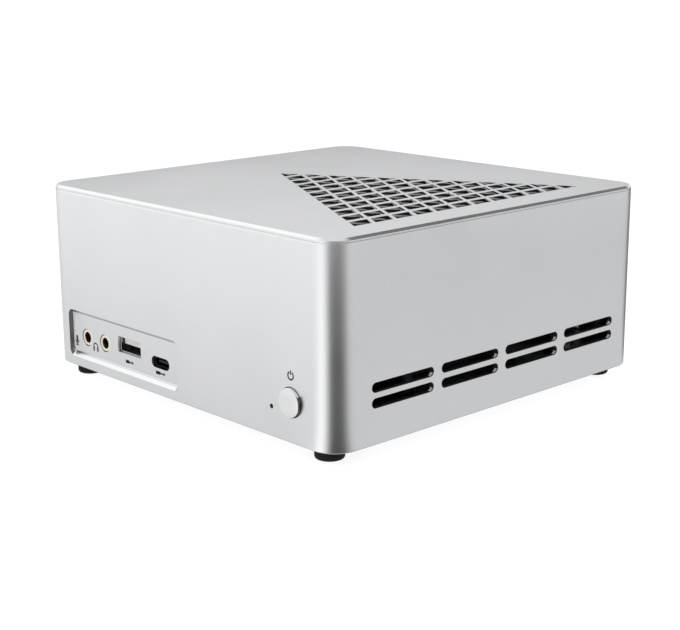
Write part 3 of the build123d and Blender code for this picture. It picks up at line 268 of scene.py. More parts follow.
class CaseFinish(Finish):
    """Bead-blasted and anodised silver, with cut places, and painted shade, painted highlights and painted
    black shade laid over it.
    """

    def __init__(self, name):
        super().__init__(name, SILVER, 0.32, 1.0)
        self.slope = self.normal()
        spread = self.blotches(28 * MM)
        silver = self.mixed(spread, SILVER_DARK, SILVER)
        # Painted shade darkens the case in its corners and gaps
        self.surface = self.mixed(self.crevices(0.7 * MM), silver, CREVICE_SHADE)
        self.grain = self.remap(spread, (0.0, 1.0), (0.29, 0.34))
        self.metal = 1.0
        self.bump(self.noise(0.22 * MM, 2.0), 0.004 * MM)
        self.bump(self.noise(0.9 * MM, 1.0), 0.003 * MM)

    def facing(self, axis, low, high):
        """1 where this part of the face's normal lies between two values."""
        return self.between(self.slope[axis], low, high)

    def lay(self, mask, colour, roughness_change=0.0, metal_change=0.0):
        """Lays a colour over the surface where the mask is 1."""
        self.surface = self.mixed(mask, self.surface, colour)
        self.grain = self.maths("ADD", self.grain, self.maths("MULTIPLY", mask, roughness_change))
        self.metal = self.maths("ADD", self.metal, self.maths("MULTIPLY", mask, metal_change))

    def lay_paint(self, mask, brightness, roughness_change):
        """Lays an even grey that isn't metal over the surface where the mask is 1."""
        self.lay(mask, (brightness, brightness, brightness), roughness_change, -1.0)

    def finished(self):
        self.join(self.surface, "Base Color")
        self.join(self.maths("MINIMUM", self.grain, 1.0), "Roughness")
        self.join(self.maths("MAXIMUM", self.metal, 0.0), "Metallic")
        return self.material


def lay_rims(finish):
    """A painted highlight keeps the front bright beside the seam of the lid, and the bottom edge has a thin
    line of painted shadow.
    """
    low = SHELL_LOW.x, FACE_Y - MM, SHELL_HIGH.z - 0.8 * MM
    high = SHELL_HIGH.x, FACE_Y + SKIN, SHELL_HIGH.z + MM
    finish.lay(finish.within(low, high), LIT_RIM)
    low = SHELL_LOW - Vector((MM, MM, MM))
    high = SHELL_HIGH.x + MM, SHELL_HIGH.y + MM, SHELL_LOW.z + 0.3 * MM
    finish.lay(finish.within(low, high), BOTTOM_SHADOW_LINE)


def lay_port_panel(finish):
    """The panel's left end turns away from the light, its upper edge overhangs and its floor is lit."""
    low = RECESS_LOW - Vector((MM, 0, MM))
    high = RECESS_LOW.x + 1.4 * MM, PANEL_Y - SKIN / 2, RECESS_HIGH.z
    finish.lay(finish.both(finish.within(low, high), finish.facing("X", 0.2, 1.1)), END_SHADE, 0.15)
    low = RECESS_LOW.x, PANEL_Y - SKIN, OVERHANG_Z
    high = RECESS_HIGH.x - 0.6 * MM, PANEL_Y + SKIN, RECESS_HIGH.z + MM
    finish.lay(finish.within(low, high), OVERHANG_SHADE)
    low = RECESS_LOW.x, PANEL_Y - 0.7 * MM, RECESS_LOW.z
    high = RECESS_HIGH.x + MM, PANEL_Y + SKIN, RECESS_LOW.z + 2 * MM
    finish.lay(finish.both(finish.within(low, high), finish.facing("Z", 0.5, 0.9)), LIT_LEDGE)
    # The left of the panel is painted light: a matt grey that isn't metal, which stays bright beside the
    # shaded end wall instead of mirroring it. It fades out towards the right
    low = RECESS_LOW.x, PANEL_Y - SKIN, RECESS_LOW.z
    high = RECESS_LOW.x + 5 * MM, PANEL_Y + SKIN, OVERHANG_Z
    fading = finish.remap(finish.at["X"], (RECESS_LOW.x + 1.5 * MM, high[0]), (1.0, 0.0))
    finish.lay_paint(finish.both(finish.within(low, high), fading), 0.80, 0.2)


def lay_side_slots(finish):
    """A painted highlight lies on the far lower end of each slot in the right side. Their other walls get
    painted shade.
    """
    low = SHELL_HIGH.x - 1.5 * MM, SHELL_LOW.y, 0.0
    high = SHELL_HIGH.x - 0.5 * MM, SHELL_HIGH.y, SHELL_HIGH.z
    far_end = finish.both(finish.facing("Y", -0.95, -0.35), finish.facing("Z", 0.30, 0.95))
    # Painted highlight: a light grey that isn't metal on the far lower ends
    finish.lay_paint(finish.both(finish.within(low, high), far_end), 0.98, 0.2)
    walls = finish.both(finish.within_case(SKIN), finish.facing("X", -0.1, 0.1))
    right_side = finish.maths("GREATER_THAN", finish.at["X"], SHELL_HIGH.x - SIDE_WALL)
    elsewhere = finish.maths("SUBTRACT", 1.0, far_end)
    finish.lay(finish.both(walls, right_side, elsewhere), SLOT_SHADE, 0.1, -0.6)


def shell_aluminium(name):
    """The body, which is painted black inside as shade."""
    finish = CaseFinish(name)
    finish.lay(finish.facing("Z", 0.5, 0.9), CUT_EDGE, -0.10)
    lay_rims(finish)
    lay_port_panel(finish)
    lay_side_slots(finish)
    # Everything inside the case behind the front wall is painted black as shade
    behind_front = finish.maths("GREATER_THAN", finish.at["Y"], FACE_Y + FRONT_WALL - SKIN)
    room = finish.both(finish.within_case(SIDE_WALL - 2 * SKIN), behind_front)
    finish.lay(room, SHADE_BLACK, 0.35, -1.0)
    return finish.finished()


def cover_aluminium(name):
    """The lid: its bevel is cut bright, and its underside and the walls of the vent are painted black as
    shade.
    """
    finish = CaseFinish(name)
    finish.lay(finish.facing("Z", 0.35, 0.95), CUT_EDGE, -0.08)
    # The lid's downward front faces are painted a light grey that isn't metal, as painted light, so that the
    # seam shows no shade line
    front_seam = finish.both(finish.facing("Z", -0.95, -0.2), finish.facing("Y", -1.0, -0.3))
    finish.lay_paint(front_seam, 0.85, 0.2)
    # Slanted streaks of painted sheen lie faintly over the black on the walls of the vent cells
    sheen_spacing, sheen_rise = 4.6 * MM, 0.75 * MM
    along = finish.maths("DIVIDE", finish.maths("ADD", finish.at["X"], finish.at["Y"]), sheen_spacing)
    lifted = finish.maths("ADD", along, finish.maths("DIVIDE", finish.at["Z"], sheen_rise))
    wave = finish.maths("PINGPONG", finish.maths("ADD", lifted, finish.noise(5 * MM, 1.0)), 1.0)
    walls = finish.mixed(finish.remap(wave, (0.50, 0.95), (0.0, 1.0)), SHADE_BLACK, (0.75, 0.75, 0.75))
    below_top = finish.maths("LESS_THAN", finish.at["Z"], LID_TOP - 0.03 * MM)
    finish.lay(finish.both(finish.within_case(2.5 * MM), below_top), walls, 0.35, -1.0)
    return finish.finished()


def blasted_aluminium(name, colour, roughness_range):
    """Extruded and milled aluminium with a fine even grain."""
    finish = Finish(name, colour, 0.32, 1.0)
    finish.uneven(12 * MM, 0.03, roughness_range)
    finish.bump(finish.noise(0.25 * MM, 2.0, (1, 14, 1)), 0.006 * MM)
    return finish.material


def moulded_plastic(name, colour, roughness_range=(0.42, 0.55), grain=0.35 * MM, depth=0.008 * MM):
    """Moulded plastic with a spark-eroded grain."""
    finish = Finish(name, colour, 0.5)
    finish.uneven(9 * MM, 0.10, roughness_range)
    finish.bump(finish.cells(grain), depth)
    return finish.material


def moulded_rubber(name):
    """Matt rubber with a dusty bloom."""
    finish = Finish(name, (0.006, 0.006, 0.006), 0.8)
    finish.uneven(2.4 * MM, 0.35, (0.72, 0.88))
    finish.set("Specular IOR Level", 0.25)
    finish.bump(finish.noise(0.5 * MM, 4.0), 0.02 * MM)
    return finish.material


def sheet_steel(name, colour, roughness_range=(0.22, 0.36), rolled=(1, 1, 12), depth=0.003 * MM):
    """Rolled and plated sheet with faint rolling lines."""
    finish = Finish(name, colour, 0.3, 1.0)
    finish.uneven(3.5 * MM, 0.05, roughness_range)
    finish.bump(finish.noise(0.12 * MM, 2.0, rolled), depth)
    return finish.material


def shell_hollow(node, inset):
    """The box inside a socket shell, open towards the front."""
    low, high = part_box(node)
    drawn = Vector((inset, min(inset, 0.0), inset))
    return low + drawn, high - drawn


def socket_hollows():
    """Boxes inside the socket shells, where the plating sees no light."""
    insets = {"front_usb_c_shell": -0.1 * MM, "hdmi_shell": 0.35 * MM, "display_port_shell": 0.35 * MM}
    boxes = [shell_hollow(node, inset) for node, inset in insets.items()]
    half = Vector((6.2, 7.5, 2.4)) * MM
    for mount in REAR_USB:
        for level in USB_LEVELS:
            centre = Vector((MOUNTS[mount].x, MOUNTS[mount].y - 7 * MM, level))
            boxes.append((centre - half, centre + half))
    return boxes


def port_steel(name):
    """Plated socket shells, painted dark inside as shade. A little painted light shows in the front USB
    socket.
    """
    finish = Finish(name, (0.66, 0.67, 0.69), 0.3, 1.0)
    spread = finish.blotches(3.5 * MM)
    surface = finish.mixed(spread, (0.62, 0.63, 0.65), (0.69, 0.70, 0.72))
    hollow = 0.0
    for low, high in socket_hollows():
        hollow = finish.maths("MAXIMUM", hollow, finish.within(low, high))
    surface = finish.mixed(hollow, surface, (0.012, 0.012, 0.012))
    front_socket = finish.within(*shell_hollow("front_usb_a_shell", 0.30 * MM))
    finish.join(finish.mixed(front_socket, surface, (0.30, 0.30, 0.31)), "Base Color")
    finish.join(finish.remap(spread, (0.0, 1.0), (0.22, 0.36)), "Roughness")
    finish.bump(finish.noise(0.12 * MM, 2.0, (1, 1, 12)), 0.003 * MM)
    return finish.material


def bushing_metal(name):
    """Pale gold plating on the jacks' bushings; in the bores, blotches of painted shade over a tint of each
    jack's colour.
    """
    bore_tints = {"mic_jack": (0.52, 0.40, 0.35), "headphone_jack": (0.50, 0.50, 0.32)}
    finish = Finish(name, (0.86, 0.79, 0.60), 0.2, 1.0)
    spread = finish.blotches(1.6 * MM)
    surface = finish.mixed(spread, (0.90, 0.85, 0.72), (0.97, 0.93, 0.83))
    patches = finish.remap(finish.noise(0.9 * MM, 1.0), (0.42, 0.55), (0.0, 1.0))
    for mount, tint in bore_tints.items():
        bore = finish.within_bore(MOUNTS[mount], 2.02 * MM)
        surface = finish.mixed(bore, surface, finish.mixed(patches, (0.03, 0.028, 0.022), tint))
    finish.join(surface, "Base Color")
    finish.join(finish.remap(spread, (0.0, 1.0), (0.16, 0.26)), "Roughness")
    finish.bump(finish.noise(0.10 * MM, 2.0), 0.002 * MM)
    return finish.material


def powder_coat(name):
    """Black powder coat with an orange-peel surface."""
    finish = Finish(name, (0.022, 0.022, 0.024), 0.5)
    finish.uneven(14 * MM, 0.12, (0.42, 0.55))
    finish.bump(finish.noise(0.8 * MM, 3.0), 0.03 * MM)
    return finish.material


def turned_metal(name, colour, roughness_range=(0.20, 0.32)):
    """Turned and plated metal with a fine grain."""
    finish = Finish(name, colour, 0.25, 1.0)
    finish.uneven(1.6 * MM, 0.05, roughness_range)
    finish.bump(finish.noise(0.10 * MM, 2.0), 0.002 * MM)
    return finish.material


def spun_button(name):
    """Satin metal with the fine rings that spinning leaves on the cap. The cap's side is painted dark as
    shade.
    """
    finish = Finish(name, (0.88, 0.885, 0.89), 0.3, 1.0)
    satin = finish.uneven(2.5 * MM, 0.02, (0.27, 0.34))
    slope = finish.normal()
    turned_away = finish.maths("GREATER_THAN", slope["Y"], -0.6)
    not_upwards = finish.maths("LESS_THAN", slope["Z"], 0.55)
    finish.join(finish.mixed(finish.both(turned_away, not_upwards), satin, (0.14, 0.14, 0.145)), "Base Color")
    low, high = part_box("power_button")
    finish.bump(finish.rings((low + high) / 2, 1, 0.05 * MM), 0.0015 * MM)
    return finish.material


def circuit_board(name, mask, track, chip_layers=()):
    """Solder mask over copper: tracks run under the glossy lacquer as slightly lighter lines."""
    finish = Finish(name, mask, 0.3)
    lanes = finish.noise(2.2 * MM, 0.0, (1, 9, 1))
    crossing = finish.noise(2.2 * MM, 0.0, (9, 1, 1))
    tracks = finish.remap(finish.maths("MAXIMUM", lanes, crossing), (0.60, 0.62), (0.0, 1.0))
    surface = finish.mixed(tracks, mask, track)
    for low, high in chip_layers:
        surface = finish.mixed(finish.between(finish.at["Z"], low, high), surface, (0.020, 0.020, 0.022))
    finish.join(surface, "Base Color")
    finish.join(finish.remap(finish.noise(6 * MM), (0.3, 0.7), (0.26, 0.36)), "Roughness")
    finish.bump(tracks, 0.03 * MM)
    return finish.material


def wound_copper(name):
    """Enamelled winding: fine parallel turns of wire."""
    finish = Finish(name, (0.72, 0.36, 0.20), 0.3, 1.0)
    finish.uneven(2.0 * MM, 0.10, (0.22, 0.34))
    finish.bump(finish.noise(0.3 * MM, 1.0, (6, 6, 1)), 0.05 * MM)
    return finish.material


def braided_sleeve(name):
    """A woven black sleeve."""
    finish = Finish(name, (0.02, 0.02, 0.02), 0.6)
    finish.uneven(0.5 * MM, 0.4, (0.5, 0.7))
    finish.bump(finish.cells(0.35 * MM), 0.05 * MM)
    return finish.material


# Levels between which the memory modules and the drive show chips instead of board
FILM = 0.02 * MM
MEMORY_CHIPS = []
for module in (LOWER_MODULE, UPPER_MODULE):
    MEMORY_CHIPS.append((module - 2 * MM, module - FILM))
    MEMORY_CHIPS.append((module + MODULE_THICKNESS + FILM, module + 3 * MM))
DRIVE_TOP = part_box("ssd_card")[1].z
DRIVE_CHIPS = [(DRIVE_TOP - 1.18 * MM, DRIVE_TOP + MM)]

# The finish of each material slot in the record: how it is made, and with what
SLOT_FINISHES = {
    "shell_aluminium": (shell_aluminium,),
    "cover_aluminium": (cover_aluminium,),
    "base_plate": (powder_coat,),
    "black_rubber": (moulded_rubber,),
    "screw_steel": (turned_metal, (0.50, 0.51, 0.53)),
    "button_metal": (spun_button,),
    "black_plastic": (moulded_plastic, (0.016, 0.016, 0.018)),
    "lamp_lens": (moulded_plastic, (0.02, 0.021, 0.023), (0.10, 0.18), 1.5 * MM, 0.002 * MM),
    "board_laminate": (circuit_board, (0.008, 0.022, 0.016), (0.014, 0.045, 0.030)),
    "standoff_brass": (turned_metal, (0.72, 0.55, 0.26)),
    "jack_pink": (moulded_plastic, (0.20, 0.12, 0.11), (0.3, 0.4)),
    "jack_green": (moulded_plastic, (0.18, 0.19, 0.09), (0.3, 0.4)),
    "bushing_metal": (bushing_metal,),
    "port_steel": (port_steel,),
    "shield_steel": (sheet_steel, (0.60, 0.61, 0.63), (0.30, 0.38), (12, 1, 1), 0.0008 * MM),
    "tongue_plastic": (moulded_plastic, (0.72, 0.72, 0.70), (0.32, 0.42)),
    "heatsink_aluminium": (blasted_aluminium, (0.035, 0.035, 0.038), (0.34, 0.46)),
    "fan_plastic": (moulded_plastic, (0.016, 0.016, 0.018), (0.35, 0.5)),
    "motor_copper": (wound_copper,),
    "bearing_bronze": (turned_metal, (0.50, 0.36, 0.20), (0.35, 0.5)),
    "chip_nickel": (sheet_steel, (0.62, 0.62, 0.62), (0.28, 0.4)),
    "memory_laminate": (circuit_board, (0.010, 0.050, 0.028), (0.020, 0.085, 0.050), MEMORY_CHIPS),
    "drive_laminate": (circuit_board, (0.010, 0.018, 0.050), (0.020, 0.036, 0.085), DRIVE_CHIPS),
    "cell_steel": (sheet_steel, (0.70, 0.70, 0.70), (0.16, 0.28)),
    "coil_ferrite": (moulded_plastic, (0.08, 0.08, 0.085), (0.5, 0.65), 0.5 * MM, 0.03 * MM),
    "capacitor_can": (turned_metal, (0.68, 0.69, 0.71)),
    "cable_sleeve": (braided_sleeve,),
}
MATERIALS = {name: make(name, *values) for name, (make, *values) in SLOT_FINISHES.items()}

# Finishes of the added pieces
GOLD = turned_metal("contact_gold", (0.90, 0.66, 0.28), (0.16, 0.26))
INK = moulded_plastic("printed_ink", (0.035, 0.035, 0.040), (0.5, 0.6), 0.2 * MM, 0.002 * MM)
EPOXY = moulded_plastic("chip_epoxy", (0.022, 0.022, 0.023), (0.38, 0.5), 0.15 * MM, 0.004 * MM)
CERAMIC = moulded_plastic("chip_ceramic", (0.30, 0.20, 0.12), (0.35, 0.45), 0.2 * MM, 0.003 * MM)
TIN = turned_metal("solder_tin", (0.66, 0.66, 0.67), (0.25, 0.38))
# White that isn't metal: a painted highlight for the glint on the spring in the front USB socket
SPRING_GLINT = moulded_plastic("spring_glint", (0.92, 0.92, 0.92), (0.15, 0.25), 0.3 * MM, 0.001 * MM)
LAMP_AMBER = moulded_plastic("lamp_amber", (0.55, 0.30, 0.06), (0.12, 0.2), 0.6 * MM, 0.003 * MM)
LAMP_GREEN = moulded_plastic("lamp_green", (0.10, 0.42, 0.12), (0.12, 0.2), 0.6 * MM, 0.003 * MM)
HUB_FOIL = sheet_steel("hub_foil", (0.16, 0.16, 0.17), (0.42, 0.55))


def dress_nodes():
    """Gives every CAD node the finish of its slot in the record."""
    for subpart in frame["record"]["subparts"]:
        mesh = NODES[subpart["node"]].data
        mesh.materials.clear()
        mesh.materials.append(MATERIALS[subpart["material_slot"]])


dress_nodes()


# ---------------------------------------- mesh helpers
def middle_of(node):
    """The middle of a CAD node's box."""
    low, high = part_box(node)
    return (low + high) / 2


def new_piece(name, shape, material, body="case", smooth=False):
    """Turns a bmesh into a piece with a material, which rides on a body."""
    mesh = bpy.data.meshes.new(name)
    bmesh.ops.recalc_face_normals(shape, faces=shape.faces)
    shape.to_mesh(mesh)
    shape.free()
    mesh.materials.append(material)
    piece = bpy.data.objects.new(name, mesh)
    SCENE.collection.objects.link(piece)
    if smooth:
        mesh.shade_smooth()
        mesh.set_sharp_from_angle(angle=math.radians(35))
    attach(piece, body)
    return piece


def add_block(shape, low, high, bevel=0.0):
    """Adds a block between two corners, with its edges broken by a bevel."""
    low, high = Vector(low), Vector(high)
    place = Matrix.Translation((low + high) / 2) @ Matrix.Diagonal((*(high - low), 1.0))
    made = bmesh.ops.create_cube(shape, size=1.0, matrix=place)["verts"]
    if bevel:
        edges = list({edge for vertex in made for edge in vertex.link_edges})
        bmesh.ops.bevel(shape, geom=edges, offset=bevel, segments=1, affect="EDGES")


def add_slab(shape, outline, low, high, axis):
    """Adds a flat slab: a closed 2-D outline carried from low to high along an axis."""
    def point(pair, level):
        values = list(pair)
        values.insert(axis, level)
        return values

    bottom = [shape.verts.new(point(pair, low)) for pair in outline]
    top = [shape.verts.new(point(pair, high)) for pair in outline]
    shape.faces.new(bottom)
    shape.faces.new(top[::-1])
    count = len(outline)
    for i in range(count):
        shape.faces.new((bottom[i], top[i], top[(i + 1) % count], bottom[(i + 1) % count]))


def arc(centre, radius, start, end, steps=12):
    """Points of an arc in degrees, counted from +X towards the second axis."""
    angles = [math.radians(start + (end - start) * i / steps) for i in range(steps + 1)]
    return [(centre[0] + radius * math.cos(a), centre[1] + radius * math.sin(a)) for a in angles]


def stroke_outline(points, width):
    """Outline of a line of even width through open points."""
    left, right = [], []
    for i, point in enumerate(points):
        before = Vector(points[max(i - 1, 0)])
        after = Vector(points[min(i + 1, len(points) - 1)])
        along = (after - before).normalized()
        across = Vector((-along.y, along.x)) * width / 2
        left.append(tuple(Vector(point) + across))
        right.append(tuple(Vector(point) - across))
    return left + right[::-1]


def add_lathe(shape, centre, profile, axis, steps=64):
    """Adds a turned form: profile is a closed list of (radius, place along the axis)."""
    others = [i for i in range(3) if i != axis]
    rings = []
    for i in range(steps):
        angle = 2 * math.pi * i / steps
        ring = []
        for radius, along in profile:
            point = [0.0, 0.0, 0.0]
            point[axis] = along
            point[others[0]] = centre[0] + radius * math.cos(angle)
            point[others[1]] = centre[1] + radius * math.sin(angle)
            ring.append(shape.verts.new(point))
        rings.append(ring)
    for i, ring in enumerate(rings):
        following = rings[(i + 1) % steps]
        for j in range(len(profile)):
            k = (j + 1) % len(profile)
            shape.faces.new((ring[j], ring[k], following[k], following[j]))


def rounded_rim(outer, front, rim):
    """Profile points round the front edge of a turned piece, rounded to the radius rim."""
    return [(outer - rim + rim * math.cos(t), front + rim - rim * math.sin(t)) for t in (0.4, 0.8, 1.2)]


# ---------------------------------------- marks on the front
INK_DEPTH = 0.03 * MM


def print_mark(name, outlines, centre, face_y):
    """Prints outlines, given in mm about a centre, on a face that looks to the front."""
    shape = bmesh.new()
    for outline in outlines:
        placed = [(centre[0] + x * MM, centre[1] + z * MM) for x, z in outline]
        add_slab(shape, placed, face_y - INK_DEPTH, face_y + INK_DEPTH, 1)
    new_piece(name, shape, INK)


def power_mark():
    """An open ring with a short upright line, above the power button."""
    button = middle_of("power_button")
    ring = stroke_outline(arc((0, 0), 1.25, 120, 420, 28), 0.56)
    upright = stroke_outline([(0, 0.3), (0, 1.75)], 0.52)
    print_mark("power_mark", [ring, upright], (button.x, button.z + 8.6 * MM), FACE_Y)


def microphone_mark():
    """A capsule in a cradle on a stand, to the left of its jack."""
    jack = MOUNTS["mic_jack"]
    capsule = arc((0, 1.4), 0.62, 0, 180, 8) + arc((0, 0.0), 0.62, 180, 360, 8)
    cradle = stroke_outline(arc((0, 0.0), 0.95, 180, 360, 12), 0.42)
    stem = stroke_outline([(0, -0.9), (0, -1.7)], 0.44)
    foot = stroke_outline([(-0.8, -1.75), (0.8, -1.75)], 0.46)
    centre = jack.x - 6.9 * MM, jack.z - 2.3 * MM
    print_mark("microphone_mark", [capsule, cradle, stem, foot], centre, PANEL_Y)


def headphone_mark():
    """A headband with two ear cups, between the jacks."""
    left_jack, right_jack = MOUNTS["mic_jack"], MOUNTS["headphone_jack"]
    outlines = [stroke_outline(arc((0, 0.1), 1.40, 0, 180, 16), 0.52)]
    for side in (-1, 1):
        outer, inner = side * 1.65, side * 0.75
        outlines.append([(outer, 0.2), (inner, 0.2), (inner, -1.5), (outer, -1.5)])
    centre = (left_jack.x + right_jack.x) / 2 - 0.4 * MM, left_jack.z - 2.7 * MM
    print_mark("headphone_mark", outlines, centre, PANEL_Y)


def socket_mark(name, mount, drop, width):
    """A solid plug seen from the side, printed under its socket: a body, a collar and a tip."""
    half, thin, thick = width / 2, 0.28, 0.6
    bar = [(-half, -thin), (half, -thin), (half, thin), (-half, thin)]
    body = [(-half, -thick), (-0.15, -thick), (-0.15, thick), (-half, thick)]
    tip = [(half - 0.7, -thick), (half, 0.0), (half - 0.7, thick)]
    centre = MOUNTS[mount].x - 0.2 * MM, MOUNTS[mount].z - drop
    print_mark(name, [bar, body, tip], centre, PANEL_Y)


power_mark()
microphone_mark()
headphone_mark()
socket_mark("usb_a_mark", "usb_a_front", 5.6 * MM, 4.6)
socket_mark("usb_c_mark", "usb_c_front", 3.7 * MM, 5.2)


# ---------------------------------------- turned rings of the audio jacks
def jack_ring(node):
    """A plated bushing with a rounded lip and a funnel for the plug. Stands for the CAD tube."""
    low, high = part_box(node)
    outer, bore = (high.x - low.x) / 2, 1.85 * MM
    lip = 0.30 * MM
    front = low.y
    profile = [(bore, high.y), (outer, high.y), (outer, front + lip)]
    profile += rounded_rim(outer, front, lip)
    profile += [(outer - lip, front), (bore + lip, front), (bore + lip / 3, front + lip / 2)]
    profile += [(bore, front + 0.5 * MM)]
    shape = bmesh.new()
    middle = middle_of(node)
    add_lathe(shape, (middle.x, middle.z), profile, 1)
    piece = new_piece(node + "_ring", shape, MATERIALS["bushing_metal"], smooth=True)
    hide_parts(node)


jack_ring("mic_jack_bushing")
jack_ring("headphone_jack_bushing")


# ---------------------------------------- power button
def button_cap():
    """A turned cap with a domed face, on a flange behind the wall. Stands for the CAD cap."""
    low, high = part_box("power_button")
    cap, flange, stem = 4.75 * MM, (high.x - low.x) / 2, 2.0 * MM
    flange_front = FACE_Y + FRONT_WALL + 0.1 * MM
    flange_back = flange_front + 1.0 * MM
    dome, rim = 0.06 * MM, 0.35 * MM
    centre_radius = 0.02 * MM
    face = low.y + dome
    profile = [(centre_radius, high.y), (stem, high.y), (stem, flange_back)]
    profile += [(flange, flange_back), (flange, flange_front), (cap, flange_front)]
    profile += [(cap, face + rim)] + rounded_rim(cap, face, rim) + [(cap - rim, face)]
    profile += [(0.5 * cap, low.y + dome / 4), (centre_radius, low.y)]
    shape = bmesh.new()
    middle = middle_of("power_button")
    add_lathe(shape, (middle.x, middle.z), profile, 1, 96)
    metal = MATERIALS["button_metal"]
    piece = new_piece("power_button_cap", shape, metal, "power_button", smooth=True)
    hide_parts("power_button")


button_cap()


# ---------------------------------------- contacts in the sockets
FOIL = 0.05 * MM  # contacts reach this far past the face that carries them


def add_strips(shape, centre_x, pitch, count, width, y_range, level):
    """Adds a row of contact strips that run inwards, side by side along X."""
    for i in range(count):
        x = centre_x + (i - (count - 1) / 2) * pitch
        add_block(shape, (x - width / 2, y_range[0], level - FOIL), (x + width / 2, y_range[1], level + FOIL))


def tongue_contacts(name, node, count, pitch, width, setback=0.5 * MM):
    """Gold strips on both faces of a contact tongue, which start a setback behind its tip."""
    low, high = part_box(node)
    reach = min(6 * MM, (high.y - low.y) * 0.7)
    y_range = (low.y + setback, low.y + reach) if low.y < 0 else (high.y - reach, high.y - setback)
    shape = bmesh.new()
    for level in (low.z, high.z):
        add_strips(shape, middle_of(node).x, pitch, count, width, y_range, level)
    new_piece(name, shape, GOLD)


def usb_contacts():
    """Four strips under each wide tongue."""
    pitch, width, length = 2.4 * MM, 1.0 * MM, 9 * MM
    shape = bmesh.new()
    front = MOUNTS["usb_a_front"]
    add_strips(shape, front.x, pitch, 4, width, (front.y + 1.5 * MM, front.y + length), front.z)
    for mount in REAR_USB:
        mouth = MOUNTS[mount]
        for level in USB_LEVELS:
            add_strips(shape, mouth.x, pitch, 4, width, (mouth.y - length, mouth.y - 1.6 * MM), level)
    new_piece("usb_contacts", shape, GOLD)


def retaining_spring():
    """The small spring in the floor of the front USB socket that holds a plug. It is white, as a painted
    highlight.
    """
    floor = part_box("front_usb_a_shell")[0]
    low = Vector((middle_of("front_usb_a_shell").x, floor.y, floor.z)) + Vector((-3.1, 1.6, 0.35)) * MM
    shape = bmesh.new()
    add_block(shape, low, low + Vector((0.8, 0.9, 0.6)) * MM, 0.15 * MM)
    new_piece("usb_a_retaining_spring", shape, SPRING_GLINT)


def network_contacts():
    """Eight sprung wires that slant down into the network socket."""
    mouth = MOUNTS["network_rear"]
    pitch, thickness = 1.02 * MM, 0.3 * MM
    top = mouth.z + 3.6 * MM
    wire = stroke_outline([(mouth.y - 3.0 * MM, top), (mouth.y - 11.0 * MM, top - 3.4 * MM)], thickness)
    shape = bmesh.new()
    for i in range(8):
        x = mouth.x + (i - 3.5) * pitch
        add_slab(shape, wire, x - 0.2 * MM, x + 0.2 * MM, 0)
    new_piece("network_contacts", shape, GOLD)


def network_lamp(name, side, material):
    """A lamp in a lower corner of the network socket."""
    centre = MOUNTS["network_rear"] + Vector((side * 5.2, -0.14, -5.3)) * MM
    half = Vector((1.3, 0.26, 0.6)) * MM
    shape = bmesh.new()
    add_block(shape, centre - half, centre + half, 0.1 * MM)
    new_piece(name, shape, material)


usb_contacts()
retaining_spring()
tongue_contacts("hdmi_contacts", "hdmi_tongue", 10, 1.0 * MM, 0.5 * MM)
tongue_contacts("display_port_contacts", "display_port_tongue", 10, 1.15 * MM, 0.6 * MM)
tongue_contacts("usb_c_contacts", "front_usb_c_tongue", 12, 0.5 * MM, 0.28 * MM, 2.2 * MM)
network_contacts()
network_lamp("network_lamp_amber", -1, LAMP_AMBER)
network_lamp("network_lamp_green", 1, LAMP_GREEN)


# ---------------------------------------- small parts on the boards
def memory_fingers(name, node, board_bottom):
    """Gold fingers on both faces of a memory module, along the edge that its socket holds."""
    low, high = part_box(node)
    count, margin = 60, 2 * MM
    pitch = (high.y - low.y - 2 * margin) / count
    half_width = pitch * 0.32
    shape = bmesh.new()
    for i in range(count):
        y = low.y + margin + (i + 0.5) * pitch
        for level in (board_bottom, board_bottom + MODULE_THICKNESS):
            first = low.x, y - half_width, level - FOIL
            add_block(shape, first, (low.x + 3.4 * MM, y + half_width, level + FOIL))
    new_piece(name, shape, GOLD)


# All in mm: where small parts are tried (X range, Y range, how many), their footprints, and how far apart
# their middles stay; and the chips (middle and side)
PART_AREAS = (
    ((-6, 60), (46, 56), 60),
    ((-30, 48), (-66, -57), 34),
    ((-28, -16), (-54, -46), 10),
    ((-68, -62), (-34, 34), 24),
)
PART_SIZES = ((1.0, 0.5), (1.6, 0.8), (2.0, 1.25))
PART_SPACING = 2.6
CHIPS = ((-22, -50, 5.0), (2, 50, 6.0), (24, 51, 4.0), (44, 51, 5.0))
CHIP_HEIGHT = 1.1 * MM


def add_small_part(bodies, ends, centre, half, along, height):
    """A ceramic block that stands on the board, with a tinned end at each side along one axis."""
    inner = half.copy()
    inner[along] *= 0.6
    add_block(bodies, centre - inner, centre + inner + Vector((0, 0, height)))
    for side in (-1, 1):
        low, high = centre - half, centre + half
        if side > 0:
            low[along] = centre[along] + inner[along]
        else:
            high[along] = centre[along] - inner[along]
        add_block(ends, low, high + Vector((0, 0, height * 1.04)))


def small_parts():
    """Resistors, capacitors and chips, soldered on the free parts of the board."""
    draw = random.Random(7)
    bodies, ends, chips = bmesh.new(), bmesh.new(), bmesh.new()
    taken = []
    for x_range, y_range, count in PART_AREAS:
        for _ in range(count):
            length, width = draw.choice(PART_SIZES)
            x, y = draw.uniform(*x_range), draw.uniform(*y_range)
            if draw.random() < 0.5:
                length, width = width, length
            if any(abs(x - other[0]) < PART_SPACING and abs(y - other[1]) < PART_SPACING for other in taken):
                continue
            taken.append((x, y))
            height = draw.uniform(0.35, 0.8) * MM
            centre = Vector((x * MM, y * MM, BOARD_TOP))
            half = Vector((length / 2, width / 2, 0)) * MM
            add_small_part(bodies, ends, centre, half, 0 if length > width else 1, height)
    for x, y, side in CHIPS:
        centre = Vector((x * MM, y * MM, BOARD_TOP))
        half = Vector((side / 2, side / 2, 0)) * MM
        add_block(chips, centre - half, centre + half + Vector((0, 0, CHIP_HEIGHT)), 0.12 * MM)
    new_piece("board_small_parts", bodies, CERAMIC)
    new_piece("board_small_part_ends", ends, TIN)
    new_piece("board_chips", chips, EPOXY)


